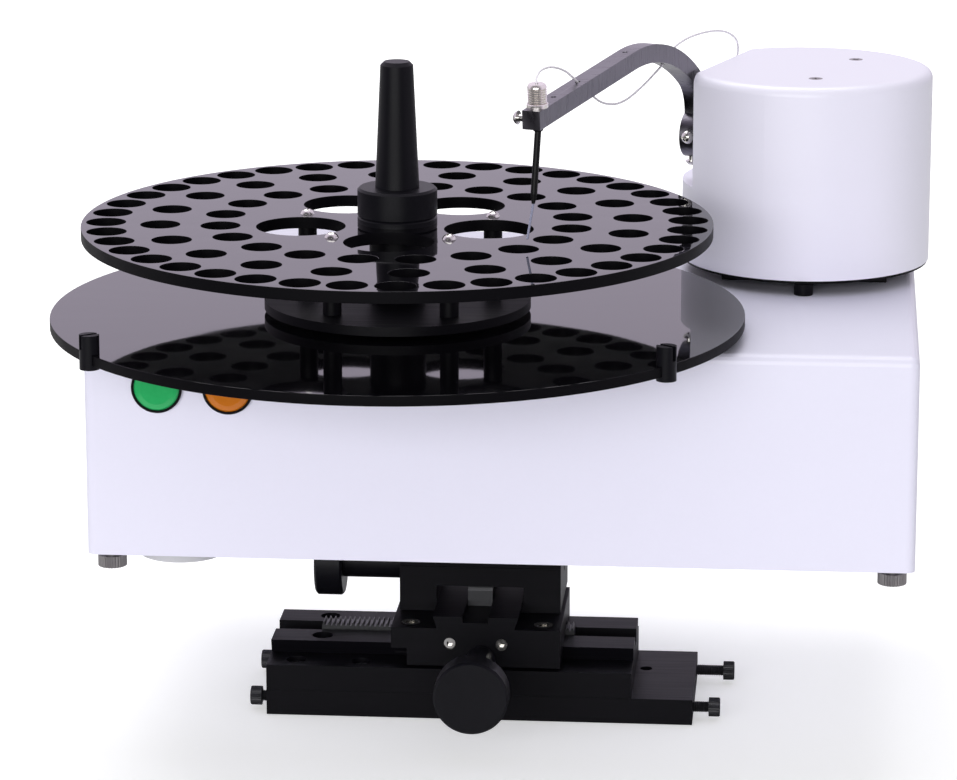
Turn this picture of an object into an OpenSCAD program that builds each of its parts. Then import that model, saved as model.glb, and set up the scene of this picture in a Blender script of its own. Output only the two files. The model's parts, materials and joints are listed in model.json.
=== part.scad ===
// Graphite furnace autosampler: a two-disc sample carousel and a swinging sampling arm
// on a sheet-metal housing, carried by a two-axis rack-and-pinion dovetail stage.
// Units are millimetres, +Z is up, the operator stands at -Y.
// The origin is the centre of the stage base's underside.

/* [Stage base and rail] */
// Length of the base plate along X
base_l = 189; // [175:1:220]
// Depth of the base plate along Y
base_d = 71; // [68:1:90]
// Thickness of the base plate
base_h = 11.5; // [10:0.5:16]
// Length of the rail along X
rail_l = 162; // [150:1:170]
// Thickness of the rail up to its front ledge
rail_h = 11.5; // [10:0.5:16]
// Height of the dovetail ridges above the ledge
ridge_h = 6; // [5:0.5:8]
// Depth of the front ledge
ledge_d = 18; // [14:0.5:19]
// Width of each ridge at its top
ridge_w = 17; // [14:0.5:18]
// Width of the groove that holds the long rack
groove_w = 12.6; // [11.5:0.1:14]
// Slant of a dovetail flank, from foot to top
flank = 2; // [1:0.25:2.5]
// Radius of the mounting holes through the base
mount_hole_r = 2.75; // [2.2:0.05:3.2]
// Distance of each mounting hole from the base's middle, along X
mount_x = 72.2; // [71:0.1:74]
// Distance of each mounting hole from the base's middle, along Y
mount_y = 8.7; // [7.5:0.1:9.5]

/* [Saddle and carriage] */
// Width of the saddle along X
saddle_w = 75; // [68:1:84]
// Thickness of the saddle above the ridges
saddle_roof = 12; // [11:0.5:15]
// Height of the upper dovetail
dove_h = 5.5; // [4.5:0.25:7]
// Width of the upper dovetail at its top
dove_w = 38; // [34:0.5:44]
// Width of the carriage block along X
block_w = 72; // [64:1:80]
// Depth of the carriage block along Y
block_d = 50; // [44:1:56]
// Height of the carriage block
block_h = 20.5; // [20:0.5:26]
// Height of the riser between carriage and housing
riser_h = 26; // [20:0.5:40]
// Module of the racks and pinions
gear_m = 0.7; // [0.6:0.05:0.7]
// Teeth of the pinion on the long rack
x_teeth = 14; // [13:1:15]
// Teeth of the pinion on the short rack
y_teeth = 16; // [15:1:17]
// Teeth of the gear on the front knob's shaft
knob_teeth = 9; // [8:1:9]
// Teeth of the gear on the long rack's pinion shaft
spur_teeth = 17; // [16:1:17]
// Diameter of the drive knobs
knob_d = 32.5; // [24:0.5:36]
// Thickness of the drive knobs
knob_t = 12.5; // [8:0.5:16]
// Diameter of the front knob's neck
x_neck_d = 13; // [8:0.5:16]
// Diameter of the side knob's neck
y_neck_d = 16; // [10:0.5:18]
// Length of the front knob's neck
x_neck_l = 42; // [30:0.5:60]
// Length of the side knob's neck
y_neck_l = 27; // [20:0.5:40]
// Radius of the pinion shafts
shaft_r = 3; // [2.5:0.1:3.2]

/* [Housing] */
// Width of the housing along X
housing_w = 353.5; // [345:0.5:400]
// Depth of the housing along Y
housing_d = 240; // [232:1:280]
// Height of the housing
housing_h = 93.5; // [90:0.5:120]
// Sheet thickness of the housing
sheet = 1.5; // [1:0.1:2]
// Radius of the housing's rounded edges
edge_r = 4; // [3:0.5:6]
// Radius of a push button's lens
button_r = 9.7; // [8:0.1:11]
// Distance between the two push buttons
button_pitch = 30.4; // [26:0.2:36]
// Radius of a levelling foot
foot_r = 6.2; // [5:0.1:8]
// Height of a levelling foot's knurled rim
foot_h = 5; // [4:0.5:8]

/* [Carousel] */
// Radius of the sample plate
plate_r = 134.5; // [133.5:0.5:136]
// Thickness of the sample plate
plate_t = 5; // [4:0.25:6]
// Radius of a sample hole
sample_r = 8.5; // [7:0.1:9]
// Radius of the outer ring of sample holes
outer_ring = 124; // [122:0.25:125]
// Radius of the middle ring of sample holes
middle_ring = 100.8; // [99:0.25:103]
// Radius of the inner ring of sample holes
inner_ring = 75.4; // [74:0.25:78]
// Radius of a reagent hole
reagent_r = 19; // [16:0.25:20]
// Radius of the ring of reagent holes
reagent_ring = 42; // [41:0.25:43]
// Length of the standoffs under the sample plate
standoff_l = 28; // [24:0.5:36]
// Radius of a standoff
standoff_r = 4; // [3.2:0.1:4.2]
// Radius of the turntable flange
turntable_r = 57; // [54:0.5:64]
// Radius of the lower disc
disc_r = 148.5; // [146:0.5:152]
// Thickness of the lower disc
disc_t = 4.5; // [3.5:0.25:6]
// Gap between the housing and the lower disc
disc_gap = 4; // [3:0.25:8]
// Radius of the handle's collar
collar_r = 17; // [14:0.25:20]
// Height of the handle's collar
collar_h = 15; // [12:0.5:20]
// Length of the handle's grip
grip_l = 54; // [40:1:70]
// Radius of the grip at its foot
grip_r0 = 9.4; // [8:0.1:11]
// Radius of the grip at its top
grip_r1 = 7; // [6:0.1:8]

/* [Tower and arm] */
// Radius of the tower cover
tower_r = 56; // [55.5:0.25:58]
// Height of the tower cover
tower_h = 86.5; // [82:0.5:100]
// Wall of the tower cover
tower_wall = 2.5; // [2:0.25:3]
// Distance of the cover's flat from the tower's axis
flat_off = 40; // [39:0.25:41]
// Direction of the arm, seen from above
arm_yaw = 250.7; // [246:0.1:256]
// Width of the arm
arm_w = 8; // [6:0.25:9]
// Thickness of the arm
arm_t = 8; // [6.5:0.25:9]
// Radius of the arm's hub
hub_r = 10.5; // [9.5:0.1:12]
// Radius of the arm's pivot shaft
pivot_r = 3; // [2.5:0.1:3.5]
// Radius of the short bend above the hub
neck_bend_r = 22; // [20:0.5:26]
// Radius of the long bend
long_bend_r = 118; // [110:1:126]
// Length of the straight bar
bar_l = 104.5; // [100:0.5:110]
// Length of the probe tube
probe_l = 31; // [24:0.5:33]
// Length of the capillary below the probe tube
tip_l = 15; // [10:0.5:16]
// Diameter of the capillary tubing
tube_d = 1; // [0.8:0.1:1.5]

/* [Hidden] */
$fn = 96;
// Clearances: sliding faces, running shafts, loose fits
slide_gap = 0.3;
run_gap = 0.05;
fit_gap = 0.15;
eps = 0.5;

// Heights of the stage, from the floor up
ledge_z = base_h + rail_h;
ridge_z = ledge_z + ridge_h;
roof_z = ridge_z + slide_gap;
saddle_z = roof_z + saddle_roof;
skirt_z = ledge_z + 1;
dove_z = saddle_z + dove_h;
block_z = saddle_z + slide_gap;
riser_z = block_z + block_h;
housing_z = riser_z + riser_h;
housing_top = housing_z + housing_h;

// Places along Y of the rail's section
rail_y0 = -base_d / 2;
ridge1_y = rail_y0 + ledge_d;
groove_y = ridge1_y + ridge_w;
ridge2_y = groove_y + groove_w;
ridge_end_y = ridge2_y + ridge_w;
groove_mid = groove_y + groove_w / 2;
rail_x = -(base_l - rail_l) / 2;

// Racks and pinions
pitch = PI * gear_m;
tooth_share = 0.36;
tooth_tip = 0.8 * gear_m;
tooth_root = 1.2 * gear_m;
rack_w = groove_w - 2.6;
rack_h = 9;
x_rack_n = 52;
x_rack_shift = 7;
x_rack_pitch_z = ledge_z + rack_h - tooth_tip;
x_pitch_r = gear_m * x_teeth / 2;
x_axis_z = x_rack_pitch_z + x_pitch_r;
saddle_x = -1.5;
saddle_d = base_d - 3;
y_rack_w = 11;
y_groove_h = 2.7;
y_rack_h = 8.2;
y_rack_n = 18;
y_rack_shift = 2;
y_rack_pitch_z = dove_z - y_groove_h + y_rack_h - tooth_tip;
y_pitch_r = gear_m * y_teeth / 2;
y_axis_z = y_rack_pitch_z + y_pitch_r;
block_y = 16.5;
pinion_w = 8;
knob_x = 2.5;
gear_dist = gear_m * (knob_teeth + spur_teeth) / 2;
gear_lean = asin(knob_x / gear_dist);
knob_axis_z = x_axis_z - gear_dist * cos(gear_lean);
knob_shaft_r = 2;
spur_w = 5;
spur_gap = 0.4;
spur_tip_r = gear_m * spur_teeth / 2 + tooth_tip;
knob_tip_r = gear_m * knob_teeth / 2 + tooth_tip;

// Housing
housing_x = 12.75;
front_y = -89.5;
back_y = front_y + housing_d;
left_x = housing_x - housing_w / 2;
right_x = housing_x + housing_w / 2;
button_x = left_x + 31.6;
button_z = housing_top - 19;
bezel_w = 0.9;
bezel_h = 1.6;
button_proud = 1.2;
rocker_y = -35;
rocker_z = housing_top - 29.5;
rocker_h = 19;
rocker_w = 13;
foot_inset_x = 9.5;
foot_inset_y = 9;
stud_r = 3;

// Carousel
carousel_x = -33;
carousel_y = -55.5;
disc_z = housing_top + disc_gap;
disc_top = disc_z + disc_t;
turntable_z = disc_top + 2;
turntable_t = 4;
plate_z = turntable_z + turntable_t + standoff_l;
plate_top = plate_z + plate_t;
outer_n = 40;
ring_n = 20;
reagent_n = 5;
outer_phase = 5.4;
middle_phase = 8.4;
inner_phase = 11.4;
reagent_phase = 54.7;
screw_phase = reagent_phase + 180 / reagent_n;
spindle_r = 8;
bush_r = 17;
bush_l = 12;
pulley_r = 20;
drive_r = 8;
pulley_h = 8;
belt_t = 1.5;
pulley_gap = 1;
pulley_z = housing_top - sheet - bush_l - pulley_gap - pulley_h;
carousel_motor_x = carousel_x + 80;
post_angles = [90, 216.5, 323.5];

// Tower
tower_x = 139.5;
tower_y = 80.5;
tower_plate = [74, 56, 3];
tower_lift = 3;
cover_z = housing_top + tower_plate.z + slide_gap + tower_lift;
tower_disc_t = 3;
tower_disc_r = tower_r - tower_wall - fit_gap;
tower_shoulder_r = 20;
tower_lip = 1.2;
cover_top = cover_z + tower_h;
cover_edge = 4;
notch_z = cover_z + 35;
tower_motor_x = tower_x - 75;
motor_w = 42;
motor_h = 38;

// Arm: the profile starts at the hub and runs towards the tip
hub_s = 20.5;
hub_z = cover_z + 56;
arm_gap = 2;
arm_off = flat_off + arm_gap + arm_w / 2;
neck_lift = 9.7;
neck_turn = 57;
long_turn = 37.7;
bar_drop = neck_turn + long_turn - 90;
neck_end = 180 - neck_turn;
bend1 = [neck_bend_r * (1 + cos(neck_end)), neck_lift + neck_bend_r * sin(neck_end)];
bend2_c = bend1 - long_bend_r * [cos(neck_end), sin(neck_end)];
bend2_end = neck_end - long_turn;
bar_0 = bend2_c + long_bend_r * [cos(bend2_end), sin(bend2_end)];
fitting_at = bar_l - 7;
set_holes = [bar_l - 24, 1.5];
set_hole_r = 1.2;
fitting_r = 4.1;
fitting_h = 10;
probe_r = 1.4;
probe_lean = 13.7;
tip_lean = 28.7;
tip_r = 0.5;
ferrule_h = 2;
arm_motor_w = 32;
arm_motor_l = 30;
gland_s = -30;
gland_up = 60;
gland_r = 2.6;
gland_l = 3;
post_r = 3.5;
post_s = [27, -27];
post_off = 13.2;

// The tubing's route, in the tower's frame, with heights above the cover's foot. It leaves the
// fitting, loops into the bar, sags below it, passes up through the bend and arches to the gland.
fitting_top = [
    hub_s + bar_0.x + fitting_at * cos(bar_drop) + (arm_t / 2 + fitting_h) * sin(bar_drop),
    -arm_off,
    hub_z - cover_z + bar_0.y - fitting_at * sin(bar_drop) + (arm_t / 2 + fitting_h) * cos(bar_drop)];
bore_a = [[159, -arm_off, 102.2], [146, -arm_off, 95.4]];
bore_b = [[60.5, -arm_off, 94.6], [50, -arm_off, 98.8]];
tube_route = concat(
    [fitting_top, fitting_top + 2.5 * [sin(bar_drop), 0, cos(bar_drop)]],
    [[199, -arm_off, 113.4], [191, -arm_off, 113.6], [182, -arm_off, 112], [173, -arm_off, 109.2]],
    [[165.5, -arm_off, 105.7]], bore_a,
    [[133, -arm_off, 89.3], [119, -arm_off, 86], [108, -arm_off, 85.4], [97, -arm_off, 86.4]],
    [[80, -arm_off, 89.6]], bore_b,
    [[43.5, -arm_off, 100.4], [27, -arm_off, 101.3], [3, -arm_off, 100], [-17, -arm_off, 96.5]],
    [[-33, -47, 90], [-42, -50, 81], [-43, -54, 71], [-38, -56, 63], [-32, -52, gland_up]],
    [[gland_s, -flat_off - gland_l - 3, gland_up], [gland_s, -flat_off - gland_l, gland_up]]);
tube_sides = 8;
tube_steps = 3;
bore_gap = 0.5;

// Smaller sizes of single pieces
mount_holes = [[-mount_x, -mount_y], [mount_x, mount_y]];
mount_sink = 7;
mount_sink_r = 4.7;
clamp_r = 2.5;
clamp_z = base_h / 2;
clamp_y = base_d / 2 - 9;
clamp_depth = 9;
clamp_out = [[-1, -1, 3], [-1, 1, 5], [1, -1, 7], [1, 1, 12]];
rail_bolts = [
    [-82, rail_y0 + ledge_d / 2, ledge_z], [-53, rail_y0 + ledge_d / 2, ledge_z],
    [-72, ridge2_y + ridge_w / 2, ridge_z]];
bolt_r = 2.5;
bolt_head_r = 4.3;
bolt_head_h = 5;
bolt_sink = 7;
saddle_y0 = rail_y0 + 1.5;
saddle_y1 = -saddle_y0;
spur_y = saddle_y0 + 8.5;
shaft_y0 = saddle_y0 + 5;
knob_y0 = rail_y0 - slide_gap;
knob_shaft_y1 = saddle_y0 + 13.5;
lip_l = 7;
gib_x = [-11.5, 11.5];
gib_z = saddle_z - 7;
gib_r = 2.5;
gib_l = 6;
gib_sink = 1;
block_y0 = block_y - block_d / 2;
tunnel_w = y_rack_w + 2.5;
slot_rise = 6.5;
slot_w = dove_w + 1;
riser_flange = 3;
riser_lip = 2;
inlet = [30, 22, 22];
inlet_x = left_x + 46;
inlet_z = housing_z + 26;
foot_places = [
    [left_x + foot_inset_x, front_y + foot_inset_y], [right_x - foot_inset_x, front_y + foot_inset_y],
    [left_x + foot_inset_x, back_y - foot_inset_y], [right_x - foot_inset_x, back_y - foot_inset_y]];
boss_r = 6;
boss_h = 9;
motor_z = pulley_z - 4 - motor_h;
bracket_h = motor_z - housing_z - sheet;
motor_places = [[carousel_motor_x, carousel_y], [tower_motor_x, tower_y]];
button_stem = 4;
cup_l = 14;
rocker_gap = 0.4;
rocker_tilt = 7;
rocker_pivot = 3;
rocker_rise = 5;
rocker_pin_r = 1.2;
rocker_wall = 2;
rocker_box_l = 8;
pump_x = left_x + 60;
pump_y = back_y - 45;
pump_z = housing_z + sheet;
pump_l = 90;
pump_w = 26;
pump_bore = 4.5;
pump_axis = 13;
rim_post_r = 4.2;
rim_post_up = 8;
rim_post_down = 2;
motor_shaft_r = 2.5;
belt_h = 5;
belt_z = pulley_z + (pulley_h - belt_h) / 2;
spigot_r = 6;
spigot_up = 8;
boss_post_r = 12;
plate_screw_r = 1.5;
plate_screw_head = 3;
flat_head = 3.1;
plate_screw_l = plate_t + 8;
stub_r = 4;
stub_l = 5;
arm_motor_y = flat_off - tower_wall - slide_gap - arm_motor_l / 2;
hub_screw_r = 1.5;
hub_screw_head = 3;
thumb_at = bar_l - 3;
thumb_out = 3;
stop_screw_y = -1.7;
probe_tip_l = 4;
bend_steps = 12;

// Shared shapes

module along_x(l) {
    translate([-l / 2, 0, 0]) rotate([90, 0, 90]) linear_extrude(l) children();
}

module along_y(l) {
    translate([0, l / 2, 0]) rotate([90, 0, 0]) linear_extrude(l) children();
}

// A box with its foot centred on the origin
module block(size) {
    translate([-size.x / 2, -size.y / 2, 0]) cube(size);
}

// A cylinder along X that starts at the origin
module rod_x(r, l) {
    rotate([0, 90, 0]) cylinder(r = r, h = l);
}

// A cylinder along -Y that starts at the origin
module rod_front(r, l) {
    rotate([90, 0, 0]) cylinder(r = r, h = l);
}

// A cross-recessed pan-head screw: the head stands on z = 0, the shank hangs below
module pan_screw(shank_r, head_r, shank_l) {
    head_h = 0.75 * head_r;
    dome_r = (head_r * head_r + head_h * head_h) / (2 * head_h);
    slot = 0.28 * head_r;
    difference() {
        union() {
            intersection() {
                cylinder(r = head_r, h = head_h);
                translate([0, 0, head_h - dome_r]) sphere(r = dome_r);
            }
            translate([0, 0, -shank_l]) cylinder(r = shank_r, h = shank_l + head_h / 4);
        }
        for (a = [0, 90]) rotate(a) translate([-head_r * 0.6, -slot / 2, head_h * 0.55])
            cube([head_r * 1.2, slot, head_h]);
    }
}

// A cross-recessed countersunk screw, its flat head flush with z = 0
module flat_screw(shank_r, head_r, shank_l) {
    slot = 0.26 * head_r;
    deep = head_r - shank_r;
    difference() {
        union() {
            translate([0, 0, -deep]) cylinder(r1 = shank_r, r2 = head_r, h = deep);
            translate([0, 0, -shank_l]) cylinder(r = shank_r, h = shank_l - deep / 2);
        }
        for (a = [0, 90]) rotate(a) translate([-head_r * 0.6, -slot / 2, -deep * 0.7])
            cube([head_r * 1.2, slot, deep]);
    }
}

// A socket-head cap screw along +X: the head starts at x = 0, the shank runs to -x
module cap_screw(shank_r, shank_l) {
    head_r = 1.7 * shank_r;
    head_h = 2 * shank_r;
    difference() {
        union() {
            rod_x(head_r, head_h);
            translate([-shank_l, 0, 0]) rod_x(shank_r, shank_l + head_h / 4);
        }
        translate([head_h / 2, 0, 0]) rotate([0, 90, 0]) cylinder(r = shank_r * 0.95, h = head_h, $fn = 6);
    }
}

// A socket set screw along +Y, its socket facing -Y at the origin
module set_screw(r, l) {
    difference() {
        translate([0, l, 0]) rod_front(r, l);
        translate([0, l / 3, 0]) rotate([90, 0, 0]) cylinder(r = r * 0.58, h = l / 3 + eps, $fn = 6);
    }
}

// Tooth outline points of a pinion, one tooth on the +X axis
function tooth_half(h) = pitch * tooth_share / 2 - h * tan(20);
function pinion_points(teeth) = [
    for (i = [0 : teeth - 1], k = [0 : 3])
        let (h = (k == 0 || k == 3) ? -tooth_root : tooth_tip,
             r = gear_m * teeth / 2 + h,
             side = k < 2 ? -1 : 1,
             a = i * 360 / teeth + side * tooth_half(h) / r * 180 / PI)
        r * [cos(a), sin(a)]];

// Outline of a rack with a gap centred on x = 0 and its teeth pointing up to height h
function rack_points(n, h) = concat(
    [[n / 2 * pitch, 0], [-n / 2 * pitch, 0]],
    [for (i = [0 : n - 1], k = [0 : 3])
        let (up = (k == 0 || k == 3) ? -tooth_root : tooth_tip,
             side = k < 2 ? -1 : 1)
        [(i + 0.5 - n / 2) * pitch + side * tooth_half(up), h - tooth_tip + up]]);

// A disc with a fine serrated rim
module knurled_disc(r, h, n) {
    linear_extrude(h) polygon([
        for (i = [0 : 2 * n - 1])
            let (a = i * 180 / n, rr = i % 2 == 0 ? r : r - 0.4) rr * [cos(a), sin(a)]]);
}

// A round knob with eased edges, its back on z = 0, facing +Z
module knob_body() {
    ease = 1;
    r = knob_d / 2;
    rotate_extrude() polygon([
        [0, 0], [r - ease, 0], [r, ease], [r, knob_t - ease], [r - ease, knob_t], [0, knob_t]]);
}

// A dovetail section, widest at its top
module dovetail(w, h, grow) {
    half = w / 2 + grow;
    polygon([[-half + flank, -eps], [-half, h + grow], [half, h + grow], [half - flank, -eps]]);
}

// A box open below, with rounded upright and top edges
module rounded_box(size, r) {
    steps = [0, 22.5, 45, 67.5, 90];
    hull() for (x = [r, size.x - r], y = [r, size.y - r], a = steps)
        translate([x, y, a == 0 ? 0 : size.z - r])
            cylinder(r = max(r * cos(a), 0.01), h = a == 0 ? size.z - r : r * sin(a), $fn = 32);
}

// A belt round two pulleys that lie along X, the first at the origin
module belt(r0, r1, dist, h) {
    linear_extrude(h) difference() {
        belt_outline(r0 + slide_gap + belt_t, r1 + slide_gap + belt_t, dist);
        belt_outline(r0 + slide_gap, r1 + slide_gap, dist);
    }
}

module belt_outline(r0, r1, dist) {
    hull() {
        circle(r = r0, $fn = 32);
        translate([dist, 0]) circle(r = r1, $fn = 32);
    }
}

// A pulley with two rims, its foot on z = 0
module pulley(r, bore) {
    rim = 1;
    difference() {
        union() {
            cylinder(r = r, h = pulley_h);
            for (z = [0, pulley_h - rim]) translate([0, 0, z]) cylinder(r = r + belt_t + 1, h = rim);
        }
        translate([0, 0, -eps]) cylinder(r = bore, h = pulley_h + 2 * eps);
    }
}

// Smooth curve through a route's points, and a round tube swept along it
function spline(a, b, c, d, t) = 0.5 * (2 * b + (c - a) * t + (2 * a - 5 * b + 4 * c - d) * t * t
    + (3 * b - a - 3 * c + d) * t * t * t);
function smooth(p, n) = concat([
    for (i = [0 : len(p) - 2], j = [0 : n - 1])
        spline(p[max(i - 1, 0)], p[i], p[i + 1], p[min(i + 2, len(p) - 1)], j / n)],
    [p[len(p) - 1]]);
function unit(v) = v / norm(v);
// The route's first and last stretch are straight, so the end rings are square to their seats
function heading(p, i, n) =
    i <= 0 ? unit(p[n] - p[0])
    : i >= len(p) - 1 ? unit(p[len(p) - 1] - p[len(p) - 1 - n])
    : unit(p[i + 1] - p[i - 1]);
function tube_ring(p, i, n, r, ref) =
    let (t = heading(p, i, n), u = unit(cross(t, ref)), v = cross(t, u))
    [for (k = [0 : tube_sides - 1]) p[i] + r * (u * cos(k * 360 / tube_sides) + v * sin(k * 360 / tube_sides))];

module tube(route, steps, r, ref) {
    p = smooth(route, steps);
    n = len(p);
    m = tube_sides;
    polyhedron(
        points = [for (i = [0 : n - 1]) each tube_ring(p, i, steps, r, ref)],
        faces = concat(
            [for (k = [1 : m - 2]) [0, k, k + 1]],
            [for (k = [1 : m - 2]) [(n - 1) * m, (n - 1) * m + k + 1, (n - 1) * m + k]],
            [for (i = [0 : n - 2], k = [0 : m - 1]) [i * m + k, (i + 1) * m + k, i * m + (k + 1) % m]],
            [for (i = [0 : n - 2], k = [0 : m - 1])
                [i * m + (k + 1) % m, (i + 1) * m + k, (i + 1) * m + (k + 1) % m]]));
}

// Frames that pieces are placed in

module at_saddle() {
    translate([saddle_x, 0, 0]) children();
}

module at_carousel(z) {
    translate([carousel_x, carousel_y, z]) children();
}

module ring_of(n, r, phase) {
    for (i = [0 : n - 1]) rotate(phase + i * 360 / n) translate([r, 0, 0]) children();
}

// Tower frame: X runs the way the arm points, -Y faces the arm's side
module at_tower(z) {
    translate([tower_x, tower_y, z]) rotate(arm_yaw) children();
}

// Arm frame: the origin is the hub's centre
module at_arm() {
    at_tower(hub_z) translate([hub_s, -arm_off, 0]) children();
}

// Bar frame: the origin is the start of the straight bar, X runs along it
module at_bar() {
    at_arm() translate([bar_0.x, 0, bar_0.y]) rotate([0, bar_drop, 0]) children();
}

// Stage

module base_plate() {
    color("#15151a") difference() {
        block([base_l, base_d, base_h]);
        for (h = mount_holes) translate([h.x, h.y, -eps]) cylinder(r = mount_hole_r, h = base_h + 2 * eps);
        for (c = clamp_out) translate([c.x * base_l / 2, c.y * clamp_y, clamp_z]) mirror([c.x < 0 ? 1 : 0, 0, 0])
            translate([-clamp_depth - eps, 0, 0]) rod_x(clamp_r + fit_gap, clamp_depth + 2 * eps);
        for (b = rail_bolts) translate([b.x, b.y, base_h - bolt_sink])
            cylinder(r = bolt_r + fit_gap, h = bolt_sink + eps);
    }
}

module rail_section() {
    polygon([
        [rail_y0, base_h], [rail_y0, ledge_z], [ridge1_y + flank, ledge_z], [ridge1_y, ridge_z],
        [groove_y, ridge_z], [groove_y, ledge_z], [ridge2_y, ledge_z], [ridge2_y, ridge_z],
        [ridge_end_y, ridge_z], [ridge_end_y - flank, ledge_z], [-rail_y0, ledge_z], [-rail_y0, base_h]]);
}

module x_rail() {
    color("#15151a") difference() {
        translate([rail_x, 0, 0]) along_x(rail_l) rail_section();
        for (b = rail_bolts) translate([b.x, b.y, 0]) {
            translate([0, 0, base_h - eps]) cylinder(r = bolt_r + fit_gap, h = b.z - base_h);
            translate([0, 0, b.z - bolt_sink]) cylinder(r = bolt_head_r + fit_gap, h = bolt_sink + eps);
        }
        translate([mount_holes[0].x, mount_holes[0].y, 0]) {
            translate([0, 0, base_h - eps]) cylinder(r = mount_hole_r, h = ridge_z - base_h);
            translate([0, 0, ridge_z - mount_sink]) cylinder(r = mount_sink_r, h = mount_sink + eps);
        }
    }
}

module x_rack() {
    color("#2a2a30") translate([saddle_x - x_rack_shift * pitch, groove_mid, ledge_z])
        along_y(rack_w) polygon(rack_points(x_rack_n, rack_h));
}

module base_screws() {
    color("#1c1c20") {
        for (c = clamp_out) translate([c.x * (base_l / 2 + c.z), c.y * clamp_y, clamp_z])
            mirror([c.x < 0 ? 1 : 0, 0, 0]) cap_screw(clamp_r, c.z + clamp_depth - 1);
        for (b = rail_bolts) translate([b.x, b.y, b.z - bolt_sink])
            rotate([0, -90, 0]) cap_screw(bolt_r, b.z - base_h - 1);
    }
}

module saddle_section() {
    g = slide_gap;
    polygon([
        [saddle_y0, skirt_z], [saddle_y0, saddle_z], [saddle_y1, saddle_z], [saddle_y1, skirt_z],
        [ridge_end_y - flank + g + 0.4, skirt_z], [ridge_end_y + g + 0.2, roof_z],
        [ridge1_y - g - 0.2, roof_z], [ridge1_y + flank - g - 0.4, skirt_z]]);
}

module saddle() {
    color("#17171c") at_saddle() difference() {
        union() {
            along_x(saddle_w) saddle_section();
            translate([0, 0, saddle_z]) along_y(saddle_d) dovetail(dove_w, dove_h, 0);
        }
        translate([-saddle_w / 2 - eps, saddle_y0 - eps, skirt_z - eps])
            cube([lip_l + eps, ledge_d, saddle_z - skirt_z - 9]);
        translate([-y_rack_w / 2 - fit_gap, saddle_y0 - eps, dove_z - y_groove_h])
            cube([y_rack_w + 2 * fit_gap, saddle_d + 2 * eps, y_groove_h + eps]);
        translate([0, shaft_y0, x_axis_z]) rotate([-90, 0, 0])
            cylinder(r = shaft_r + run_gap, h = saddle_d + 2 * eps);
        translate([knob_x, saddle_y0 - eps, knob_axis_z]) rotate([-90, 0, 0])
            cylinder(r = knob_shaft_r + run_gap, h = knob_shaft_y1 - saddle_y0 + 2 * eps);
        gear_pocket();
        translate([0, groove_mid - pinion_w / 2 - 1, x_axis_z]) rotate([-90, 0, 0])
            cylinder(r = x_pitch_r + tooth_tip + 0.6, h = pinion_w + 2);
        translate([-saddle_w / 2 - eps, groove_mid - rack_w / 2 - 0.6, roof_z - eps])
            cube([saddle_w + 2 * eps, rack_w + 1.2, ledge_z + rack_h + 0.6 - roof_z + eps]);
        for (x = gib_x) translate([x, saddle_y0 + gib_sink + gib_l, gib_z])
            rod_front(gib_r + fit_gap, gib_sink + gib_l + eps);
        for (s = [-1, 1]) translate([s * (saddle_w / 2 - 8), saddle_y0 + 9, saddle_z - 9]) {
            cylinder(r = bolt_r + fit_gap, h = 10);
            translate([0, 0, 9 - bolt_head_h]) cylinder(r = bolt_head_r + fit_gap, h = bolt_head_h + eps);
        }
    }
}

// The room for the gear pair in the saddle's front skirt, open below
module gear_pocket() {
    w = spur_w + 2 * spur_gap;
    r = knob_tip_r + spur_gap;
    translate([0, spur_y + w / 2, 0]) hull() {
        translate([0, 0, x_axis_z]) rod_front(spur_tip_r + spur_gap, w);
        translate([knob_x, 0, knob_axis_z]) rod_front(r, w);
    }
    translate([knob_x - r, spur_y - w / 2, skirt_z - eps]) cube([2 * r, w, knob_axis_z - skirt_z + eps]);
}

module saddle_screws() {
    color("#8d8a84") at_saddle() {
        for (x = gib_x) translate([x, saddle_y0 + gib_sink, gib_z]) set_screw(gib_r, gib_l);
        for (s = [-1, 1]) translate([s * (saddle_w / 2 - 8), saddle_y0 + 9, saddle_z - bolt_head_h])
            rotate([0, -90, 0]) cap_screw(bolt_r, 3.5);
    }
}

module y_rack() {
    color("#2a2a30") at_saddle() translate([0, block_y - y_rack_shift * pitch, dove_z - y_groove_h])
        rotate(90) along_y(y_rack_w) polygon(rack_points(y_rack_n, y_rack_h));
}

module x_pinion() {
    color("#9a9aa0") at_saddle() translate([0, 0, x_axis_z]) {
        translate([0, saddle_y1 - 2, 0]) rod_front(shaft_r, saddle_y1 - 2 - shaft_y0 - slide_gap);
        translate([0, groove_mid + pinion_w / 2, 0]) rotate([90, 0, 0])
            linear_extrude(pinion_w) rotate(-90) polygon(pinion_points(x_teeth));
        translate([0, spur_y + spur_w / 2, 0]) rotate([90, 0, 0])
            linear_extrude(spur_w) rotate(gear_lean - 90) polygon(pinion_points(spur_teeth));
    }
}

module x_knob() {
    color("#131318") at_saddle() translate([knob_x, 0, knob_axis_z]) {
        translate([0, knob_y0, 0]) rotate([90, 0, 0]) {
            cylinder(d = x_neck_d, h = x_neck_l);
            translate([0, 0, x_neck_l]) knob_body();
        }
        translate([0, knob_shaft_y1, 0]) rod_front(knob_shaft_r, knob_shaft_y1 - knob_y0 + eps);
        translate([0, spur_y + spur_w / 2, 0]) rotate([90, 0, 0])
            linear_extrude(spur_w) rotate(gear_lean + 90 + 180 / knob_teeth)
                polygon(pinion_points(knob_teeth));
    }
}

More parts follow.
